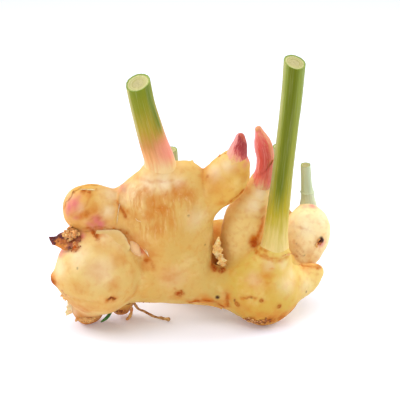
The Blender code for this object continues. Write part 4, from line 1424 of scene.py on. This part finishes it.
def crumbs(name, finish, seed, count, reach, size, centres, loose=False):
    """Crumbled bits of dry scale: small lumps scattered over the skin, each a squeezed and dented ball.

    Loose ones stay round their centres, where they lie on a scale that stands off the skin.
    """
    rng = np.random.default_rng(seed)
    polar = np.radians(CRUMB_ANGLES)[:, None]
    turn = full_turn(CRUMB_SIDES)
    out = np.sin(polar)
    ball = np.stack([out * np.cos(turn), out * np.sin(turn), np.cos(polar) + 0 * turn], axis=-1)
    centres = np.array(centres, float)
    at = centres[rng.integers(0, len(centres), count)] + rng.normal(0, reach, (count, 3))
    if loose:
        normals = unit(0 * at + LOOSE_FACING)
    else:
        at, normals = onto_skin(at)
    at += normals * rng.uniform(0.0, 0.6, count)[:, None] * size
    side = unit(np.cross(normals, rng.normal(0, 1, (count, 3))))
    other = np.cross(normals, side)
    stretch = rng.uniform(0.5, 1.5, (count, 3)) * size * CRUMB_SHAPE
    axes = np.stack([side * stretch[:, :1], other * stretch[:, 1:2], normals * stretch[:, 2:]], axis=1)
    bits = at[:, None, None] + np.einsum("rcj,njk->nrck", ball, axes)
    bits += 0.25 * size * np.stack([lattice_noise(bits, size * 0.9, seed + k) for k in range(3)], axis=-1)
    bits[..., 2] = np.maximum(bits[..., 2], CRUMB_FLOOR)
    new_piece(name, *joined([closed_tube(bit[::-1]) for bit in bits]), finish)


# ------------------------------------------------------------------ materials
def fill(tree, node, inputs):
    """Links or fills a node's inputs."""
    for key, value in inputs.items():
        if isinstance(value, bpy.types.NodeSocket):
            tree.links.new(value, node.inputs[key])
        else:
            node.inputs[key].default_value = value
    return node


def put(tree, kind, inputs=None, **settings):
    """Adds a shader node and sets it up."""
    node = tree.nodes.new("ShaderNode" + kind)
    for key, value in settings.items():
        setattr(node, key, value)
    return fill(tree, node, inputs or {})


def maths(tree, operation, first, second=0.0, third=0.0, clamp=False):
    """A number worked out from two or three others."""
    node = put(tree, "Math", {0: first, 1: second, 2: third}, operation=operation, use_clamp=clamp)
    return node.outputs[0]


def times(tree, first, second):
    """The product of two numbers."""
    return maths(tree, "MULTIPLY", first, second)


def added(tree, base, value, factor):
    """A number with so many times another added."""
    return maths(tree, "MULTIPLY_ADD", value, factor, base)


def nudged(tree, base, noise, amount):
    """A number moved to either side by a noise from 0 to 1, by half the amount at most."""
    return added(tree, base, maths(tree, "SUBTRACT", noise, 0.5), amount)


def spread(tree, value, low, high, new_low=0.0, new_high=1.0):
    """A number moved smoothly from one range to another, held inside it."""
    inputs = {"Value": value, "From Min": low, "From Max": high, "To Min": new_low, "To Max": new_high}
    return put(tree, "MapRange", inputs, interpolation_type="SMOOTHSTEP").outputs["Result"]


def cloudy(tree, at, scale, detail, output="Fac"):
    """Plain noise."""
    return put(tree, "TexNoise", {"Vector": at, "Scale": scale, "Detail": detail}).outputs[output]


def attribute(tree, name, output="Fac"):
    """A value that the mesh holds for each vertex."""
    return put(tree, "Attribute", attribute_name=name).outputs[output]


def paint(colour):
    """A colour from 0 to 255 as a socket takes it."""
    return (*[float(c) for c in linear(colour)], 1.0)


def mixed(tree, share, low, high):
    """A colour between two colours."""
    inputs = {0: share, 6: low, 7: high}
    return put(tree, "Mix", inputs, data_type="RGBA").outputs[2]


def laid(tree, colour, mask, shade, strength=1.0):
    """A colour with another, from 0 to 255, laid over it this strongly where the mask is."""
    return mixed(tree, times(tree, mask, strength), colour, paint(shade))


def ramped(tree, share, stops):
    """A colour ramp with the given stops: (position, colour from 0 to 255)."""
    node = put(tree, "ValToRGB", {"Fac": share})
    elements = node.color_ramp.elements
    while len(elements) < len(stops):
        elements.new(0.5)
    for element, (position, _) in zip(elements, stops):
        element.position = position
    for element, (_, colour) in zip(elements, stops):
        element.color = paint(colour)
    return node.outputs["Color"]


def new_group(name, output, **inputs):
    """A node group with one number out; returns its tree, the sockets of its inputs, and its output's."""
    tree = bpy.data.node_groups.new(name, "ShaderNodeTree")
    for label, value in inputs.items():
        kind = "NodeSocketVector" if isinstance(value, tuple) else "NodeSocketFloat"
        tree.interface.new_socket(label, in_out="INPUT", socket_type=kind).default_value = value
    tree.interface.new_socket(output, in_out="OUTPUT", socket_type="NodeSocketFloat")
    return tree, tree.nodes.new("NodeGroupInput").outputs, tree.nodes.new("NodeGroupOutput").inputs[output]


def use_group(tree, name, inputs):
    """The output of a node group placed with its own values."""
    node = tree.nodes.new("ShaderNodeGroup")
    node.node_tree = GROUPS[name]
    return fill(tree, node, inputs).outputs[0]


def blotches_group():
    """Cloudy patches: noise at one size, sharpened, as a mask from 0 to 1."""
    inputs = {"Vector": (0, 0, 0), "Scale": 70.0, "Detail": 4.0, "Low": 0.4, "High": 0.65}
    tree, given, mask = new_group("blotches", "Mask", **inputs)
    noise = cloudy(tree, given["Vector"], given["Scale"], given["Detail"])
    tree.links.new(spread(tree, noise, given["Low"], given["High"]), mask)
    return tree


def streaks_group():
    """Fibres: noise stretched along one direction by a scale vector, as a mask from 0 to 1."""
    inputs = {"Vector": (0, 0, 0), "Stretch": (1, 1, 0.05), "Scale": 900.0, "Low": 0.4, "High": 0.65}
    tree, given, mask = new_group("streaks", "Mask", **inputs)
    placed = put(tree, "VectorMath", {0: given["Vector"], 1: given["Stretch"]}, operation="MULTIPLY")
    inputs = {"Vector": placed.outputs[0], "Scale": given["Scale"], "Detail": 3.0, "Roughness": 0.6}
    noise = put(tree, "TexNoise", inputs).outputs["Fac"]
    tree.links.new(spread(tree, noise, given["Low"], given["High"]), mask)
    return tree


def skin_grain_group():
    """A height: fine wrinkles, finer grain, and scattered pores."""
    tree, given, height = new_group("skin_grain", "Height", Vector=(0, 0, 0), Coarse=1.0, Fine=1.0)
    at = given["Vector"]
    wrinkles = put(tree, "TexNoise", {"Vector": at, "Scale": 260.0, "Detail": 4.0, "Roughness": 0.6})
    pores = put(tree, "TexVoronoi", {"Vector": at, "Scale": 620.0})
    coarse = times(tree, wrinkles.outputs["Fac"], given["Coarse"])
    fine = times(tree, cloudy(tree, at, 1300.0, 2.0), given["Fine"])
    pitted = spread(tree, pores.outputs["Distance"], 0.0, 0.25)
    tree.links.new(added(tree, added(tree, coarse, fine, 0.18), pitted, 0.05), height)
    return tree


GROUPS = {"blotches": blotches_group(), "streaks": streaks_group(), "grain": skin_grain_group()}


def patches(tree, at, scale, low, high, detail=4.0):
    """A cloudy mask from the blotches group."""
    inputs = {"Vector": at, "Scale": scale, "Detail": detail, "Low": low, "High": high}
    return use_group(tree, "blotches", inputs)


def fibres(tree, at, stretch, scale, low, high):
    """A streaky mask from the streaks group."""
    inputs = {"Vector": at, "Stretch": stretch, "Scale": scale, "Low": low, "High": high}
    return use_group(tree, "streaks", inputs)


def new_finish(name):
    """A material with a Principled BSDF; returns it, its tree, the shader and the Object coordinates."""
    made = bpy.data.materials.new(name)
    made.use_nodes = True
    tree = made.node_tree
    return made, tree, tree.nodes["Principled BSDF"], put(tree, "TexCoord").outputs["Object"]


def bumped(tree, shader, height, distance, strength=0.8):
    """Feeds a height into the shader's normal."""
    bump = put(tree, "Bump", {"Height": height, "Distance": distance, "Strength": strength})
    tree.links.new(bump.outputs["Normal"], shader.inputs["Normal"])


def fleshy(shader, weight, scale, radius):
    """Light that sinks into the flesh and comes out warmer."""
    shader.inputs["Subsurface Weight"].default_value = weight
    shader.inputs["Subsurface Radius"].default_value = radius
    shader.inputs["Subsurface Scale"].default_value = scale


def fresh_skin():
    """The rhizome's thin waxy skin over warm flesh, with its tints, blushes, scars and fibres, and the
    painted light and shade that its pale and amber marks carry.
    """
    made, tree, shader, at = new_finish("fresh_ginger_skin")
    fibrous, dry, cork = (attribute(tree, name) for name in ("fibrous", "dry", "cork"))
    drift = {0: cloudy(tree, at, 90.0, 2.0, "Color"), 1: FIBRE_DRIFT, 2: at}
    wavy = put(tree, "VectorMath", drift, operation="MULTIPLY_ADD").outputs[0]
    clump = times(tree, fibres(tree, wavy, (1, 1, 0.30), 130.0, 0.44, 0.62), fibrous)
    strand = times(tree, fibres(tree, wavy, (1, 1, 0.09), 360.0, 0.42, 0.62), fibrous)
    bright = times(tree, fibres(tree, wavy, (1, 1, 0.12), 700.0, 0.52, 0.74), fibrous)
    patchy = spread(tree, patches(tree, at, 210.0, 0.3, 0.7), 0.0, 1.0, 0.65, 1.0)
    broken = patches(tree, at, 700.0, 0.32, 0.62, 3.0)
    corky = maths(tree, "MULTIPLY", cork, spread(tree, broken, 0.0, 1.0, 0.65, 1.15), clamp=True)
    colour = attribute(tree, "flesh", "Color")
    for scale, low, high, detail, strength, shade in SKIN_CLOUDS:
        colour = laid(tree, colour, patches(tree, at, scale, low, high, detail), shade, strength)
    # Pale cream, partly painted light on surfaces that face the light.
    colour = laid(tree, colour, attribute(tree, "pale"), (255, 240, 204), 0.80)
    # Amber, partly painted shade in hollows and creases.
    colour = laid(tree, colour, times(tree, attribute(tree, "amber"), patchy), (208, 116, 24), 0.90)
    colour = laid(tree, colour, clump, (214, 140, 54), 0.55)
    colour = laid(tree, colour, strand, (208, 122, 30), 0.65)
    colour = laid(tree, colour, bright, (255, 232, 176), 0.45)
    colour = laid(tree, colour, attribute(tree, "blush"), (222, 104, 122), 0.80)
    colour = laid(tree, colour, dry, (226, 152, 72))
    colour = laid(tree, colour, corky, (180, 82, 18))
    colour = laid(tree, colour, attribute(tree, "dark"), (64, 26, 10))
    rough = spread(tree, maths(tree, "MAXIMUM", cork, dry), 0.0, 0.8, 0.46, 0.85)
    fill(tree, shader, {"Base Color": colour, "Roughness": rough, "Specular IOR Level": WAXY})
    grain = use_group(tree, "grain", {"Vector": at, "Coarse": 0.9, "Fine": 0.9})
    height = added(tree, added(tree, grain, strand, -0.5), times(tree, broken, cork), 0.7)
    bumped(tree, shader, height, 0.00055)
    fleshy(shader, 0.14, 0.0014, (1.0, 0.45, 0.15))
    return made


def stem_finish(name, stops, stripes=(), blush=0.0):
    """A leafy stem's skin: colours by height, fine lengthwise streaks, stripes by the way its side faces
    (darker bands, and paler sides facing left that are painted light), and the pale cut.
    """
    made, tree, shader, at = new_finish(name)
    grain = attribute(tree, "grain", "Vector")
    up, way_x, way_y = (attribute(tree, name) for name in ("up", "spoke_x", "spoke_y"))
    streak = fibres(tree, grain, (1, 1, 0.04), 620.0, 0.38, 0.66)
    moved = nudged(tree, nudged(tree, up, cloudy(tree, grain, 130.0, 2.0), 0.07), streak, 0.06)
    colour = ramped(tree, moved, stops)
    # Stripes by the way the side faces; the pale ones facing left are painted light.
    for toward_x, toward_y, low, high, heights, shade in stripes:
        facing = added(tree, times(tree, way_x, toward_x), way_y, toward_y)
        share = spread(tree, nudged(tree, facing, streak, 0.06), low, high)
        colour = laid(tree, colour, times(tree, share, spread(tree, up, *heights)), shade)
    if blush:
        band = times(tree, spread(tree, up, 0.14, 0.26), spread(tree, up, 0.52, 0.32))
        side = spread(tree, way_x, -0.4, 1.0)
        colour = laid(tree, colour, times(tree, side, band), (240, 142, 128), blush)
    fine = fibres(tree, grain, (1, 1, 0.03), 1500.0, 0.45, 0.75)
    colour = laid(tree, colour, fine, (236, 232, 176), 0.12)
    speck = put(tree, "TexVoronoi", {"Vector": grain, "Scale": 150.0}).outputs["Distance"]
    colour = laid(tree, colour, spread(tree, speck, 0.05, 0.03), (226, 226, 190), 0.6)
    out = nudged(tree, attribute(tree, "radial"), cloudy(tree, at, 420.0, 3.0), 0.10)
    colour = mixed(tree, attribute(tree, "cut"), colour, ramped(tree, out, CUT_STOPS))
    fill(tree, shader, {"Base Color": colour, "Roughness": 0.38, "Specular IOR Level": WAXY})
    bumped(tree, shader, added(tree, streak, cloudy(tree, at, 1600.0, 2.0), 0.35), 0.00022)
    fleshy(shader, 0.10, 0.001, (0.8, 0.8, 0.3))
    return made


def shoot_finish(name, stops, tints, mark, lean=0.0):
    """A shoot's skin: red by height, its left side paler pink as a painted highlight and its right side
    tinted, with fine pale and dark stripes.

    With a lean, the red reaches lower on the right side than on the left.
    """
    made, tree, shader, at = new_finish(name)
    grain = attribute(tree, "grain", "Vector")
    up, side = attribute(tree, "up"), attribute(tree, "spoke_x")
    wander = cloudy(tree, at, 240.0, 3.0)
    streak = fibres(tree, grain, (1, 1, 0.06), 800.0, 0.36, 0.66)
    moved = added(tree, nudged(tree, up, wander, 0.22), side, lean)
    colour = ramped(tree, nudged(tree, moved, streak, 0.10), stops)
    inner = spread(tree, up, 0.15, 0.4)
    turned = nudged(tree, side, streak, 0.5)
    # The left tint is a painted highlight; the right one colours that side.
    for low, high, strength, shade in tints:
        colour = laid(tree, colour, times(tree, spread(tree, turned, low, high), inner), shade, strength)
    fine = fibres(tree, grain, (1, 1, 0.04), 1700.0, 0.5, 0.75)
    colour = laid(tree, colour, times(tree, fine, inner), (248, 176, 158), 0.30)
    colour = laid(tree, colour, patches(tree, at, 900.0, 0.60, 0.74, 2.0), mark, 0.4)
    fill(tree, shader, {"Base Color": colour, "Roughness": 0.42})
    bumped(tree, shader, added(tree, streak, wander, 0.6), 0.00022)
    fleshy(shader, 0.12, 0.001, (1.0, 0.35, 0.25))
    return made


def papery_finish(name, pale, deep, rim, rough=0.7, glow=0.25):
    """Dry scale or bark: cloudy between two colours, with fine dark wrinkles."""
    made, tree, shader, at = new_finish(name)
    cloud = patches(tree, at, 330.0, 0.36, 0.66, 5.0)
    wrinkle = patches(tree, at, 1100.0, 0.52, 0.70)
    colour = laid(tree, mixed(tree, cloud, paint(pale), paint(deep)), wrinkle, rim, 0.5)
    fill(tree, shader, {"Base Color": colour, "Roughness": rough})
    bumped(tree, shader, added(tree, cloud, wrinkle, 0.7), 0.0004, 0.9)
    fleshy(shader, glow, 0.002, (1.0, 0.5, 0.2))
    return made


def dry_leaf_finish():
    """The dry scale leaf: amber where light comes through, maroon on its upper edge and tip."""
    made, tree, shader, at = new_finish("dry_scale_leaf_skin")
    up, across = attribute(tree, "up"), attribute(tree, "across")
    cloud = patches(tree, at, 300.0, 0.36, 0.66, 5.0)
    crumbly = patches(tree, at, 480.0, 0.42, 0.60, 5.0)
    root = spread(tree, up, 0.62, 0.36)
    rust = times(tree, root, spread(tree, across, -0.4, 0.3))
    tan = times(tree, root, spread(tree, across, 0.2, -0.4))
    tan = times(tree, tan, patches(tree, at, 420.0, 0.34, 0.56))
    ragged = nudged(tree, across, cloud, 0.9)
    upper = times(tree, spread(tree, ragged, 0.1, -0.6), spread(tree, up, 0.30, 0.6))
    lower = times(tree, spread(tree, ragged, 0.85, 1.2), 0.8)
    point = spread(tree, nudged(tree, up, cloud, 0.2), 0.80, 0.95)
    maroon = maths(tree, "MAXIMUM", upper, maths(tree, "MAXIMUM", lower, point))
    colour = mixed(tree, cloud, paint((222, 142, 44)), paint((176, 92, 30)))
    colour = laid(tree, colour, times(tree, crumbly, spread(tree, up, 0.80, 0.30, 0.0, 0.6)), (138, 66, 30))
    colour = laid(tree, colour, rust, (152, 74, 36), 0.8)
    colour = laid(tree, colour, tan, (222, 162, 104), 0.85)
    colour = laid(tree, colour, maroon, (84, 26, 24))
    fill(tree, shader, {"Base Color": colour, "Roughness": 0.6})
    bumped(tree, shader, added(tree, cloud, crumbly, 0.8), 0.0006, 1.0)
    fleshy(shader, 0.3, 0.002, (1.0, 0.45, 0.15))
    return made


def green_blade_finish():
    """A green leaf blade: veins along it, paler on its keel and torn end."""
    made, tree, shader, at = new_finish("green_leaf_skin")
    vein = fibres(tree, at, (0.2, 1.0, 0.2), 1400.0, 0.4, 0.62)
    keel = spread(tree, maths(tree, "ABSOLUTE", attribute(tree, "across")), 0.25, 0.02)
    colour = mixed(tree, vein, paint((38, 96, 24)), paint((72, 132, 40)))
    colour = laid(tree, colour, keel, (120, 160, 70), 0.5)
    colour = laid(tree, colour, spread(tree, attribute(tree, "up"), 0.9, 1.0), (150, 180, 110), 0.5)
    fill(tree, shader, {"Base Color": colour, "Roughness": 0.4})
    bumped(tree, shader, vein, 0.00015)
    return made


# ------------------------------------------------------------------ stage
def stage_floor():
    """A wide, plain, near-white floor."""
    mesh = bpy.data.meshes.new("floor")
    corners = [(-1, -1, 0), (1, -1, 0), (1, 1, 0), (-1, 1, 0)]
    mesh.from_pydata((np.array(corners) * FLOOR_REACH).tolist(), [], [(0, 1, 2, 3)])
    floor = new_object("floor", mesh)
    made, tree, shader, _ = new_finish("white_table")
    looks = {"Base Color": (0.83, 0.855, 0.96, 1), "Roughness": 0.9, "Specular IOR Level": 0.1}
    glow = {"Emission Color": (0.97, 0.96, 1.0, 1), "Emission Strength": 0.16}
    fill(tree, shader, {**looks, **glow})
    mesh.materials.append(made)


def aimed(name, data, way):
    """An object in the scene whose front looks this way."""
    made = new_object(name, data)
    made.rotation_euler = Vector(way).to_track_quat("-Z", "Y").to_euler()
    return made


def soft_light(name, place, size, power):
    """A square area light that looks at the hand."""
    data = bpy.data.lights.new(name, "AREA")
    data.size = size
    data.energy = power
    aimed(name, data, LIT_POINT - Vector(place)).location = place


def soft_sun(name, way, width, strength):
    """An even, distant light from the given direction, this many degrees wide."""
    data = bpy.data.lights.new(name, "SUN")
    data.energy = strength
    data.angle = math.radians(width)
    aimed(name, data, -Vector(way))


def studio():
    """A light tent: white all round, a large soft light above, and one behind each shoulder."""
    scene = bpy.context.scene
    scene.world = bpy.data.worlds.new("tent")
    scene.world.use_nodes = True
    background = scene.world.node_tree.nodes["Background"]
    background.inputs["Color"].default_value = (1, 1, 1, 1)
    background.inputs["Strength"].default_value = TENT_GLOW
    soft_sun("overhead", (-0.12, -0.22, 1.0), 60, 1.72)
    soft_light("left_rear", (-0.70, 0.25, 0.45), 0.5, 4.2)
    soft_light("right_rear", (0.70, 0.25, 0.45), 0.5, 4.2)
    soft_light("front", (-0.30, -0.9, 0.55), 0.6, 1.4)
    scene.view_settings.view_transform = "Standard"


def stage_camera():
    """A long lens, a little above the hand and square to its front."""
    data = bpy.data.cameras.new("camera")
    data.lens = CAMERA_LENS
    data.sensor_width = CAMERA_SENSOR
    back = Vector((0, -math.cos(CAMERA_RISE), math.sin(CAMERA_RISE)))
    camera = aimed("camera", data, -back)
    camera.location = CAMERA_TARGET + back * CAMERA_REACH
    bpy.context.scene.camera = camera


# ------------------------------------------------------------------ the hand
def stems():
    """The five cut stems. The right one of the three at the rear is pinker at its foot, and its colours are
    painted lighter all over than the other two, as painted light against the shade that the right stem
    casts on it.
    """
    skins = {side: stem_finish(side + "_stem_skin", **traits) for side, traits in STEM_SKINS.items()}
    stem_piece("left_stem", skins["left"], rings=[(4.5, 0.7, 0.35)])
    stem_piece("right_stem", skins["right"], rows=220, ribs=0.05)
    stem_piece("rear_left_stem", skins["rear"])
    stem_piece("rear_middle_stem", skins["rear"])
    stem_piece("rear_right_stem", skins["rear_right"], rings=[(17, 0.8, 0.5), (9, 3.0, 0.9)])


def shoots():
    """The two pink shoots and the sheath scale that overlaps the right one."""
    skins = {name: shoot_finish(name + "_skin", **traits) for name, traits in SHOOT_SKINS.items()}
    shoot_piece("centre_shoot", skins["centre_shoot"], sheath=0.3)
    shoot_piece("right_shoot", skins["right_shoot"], sheath=0.35)
    wrapped_scale(
        "right_shoot_outer_scale",
        "right_shoot",
        skins["right_shoot"],
        seed=5,
        path=smooth_spine(SHOOTS["right_shoot"], STEM_STEPS),
        start=0.5,
        top=9.0,
        lean=9.0,
        facing=-30,
        wrap=210,
        lift=0.55,
    )


def small_remains(skin):
    """Everything dry, torn or stringy that is left on the hand."""
    tan = papery_finish("tan_scale", (240, 190, 120), (220, 140, 66), (150, 78, 34))
    brown = papery_finish("brown_crumb", (196, 120, 58), (140, 66, 26), (70, 30, 16), 0.8, 0.1)
    cream = papery_finish("cream_scale", (250, 226, 178), (240, 200, 138), (206, 146, 84), 0.6, 0.4)
    bark = papery_finish("root_bark", (226, 180, 116), (176, 116, 58), (110, 58, 26), 0.75, 0.1)
    flake = papery_finish("gap_flake", (255, 218, 148), (246, 182, 98), (210, 134, 60), 0.7, 0.3)
    finishes = {"skin": skin, "tan": tan, "brown": brown, "cream": cream}
    dry_scale_leaf(dry_leaf_finish())
    leaf_scrap(green_blade_finish())
    rootlet("long_root", bark)
    rootlet("short_root", tan)
    for name, finish, *lines, traits in LEFT_SCALES:
        torn_scale(name, finishes[finish], *lines, **traits)
    for name, seed, spine in GAP_FLAKES:
        loose_flake(name, flake, seed, spine)
    for name, finish, *lines, traits in RIGHT_SCALES:
        torn_scale(name, finishes[finish], *lines, **traits)
    small_bud("left_knob_side_bud", SIDE_BUD, skin, blush=0.18, pale=0.30)
    for name, finish, *numbers in CRUMBS:
        crumbs(name, finishes[finish], *numbers, loose=name in LOOSE_CRUMBS)
    threads("old_fibres", OLD_FIBRES, cream, FIBRE_RADIUS)


def main():
    stage_camera()
    studio()
    stage_floor()
    skin = fresh_skin()
    grown_skin(skin)
    stems()
    shoots()
    small_remains(skin)


main()
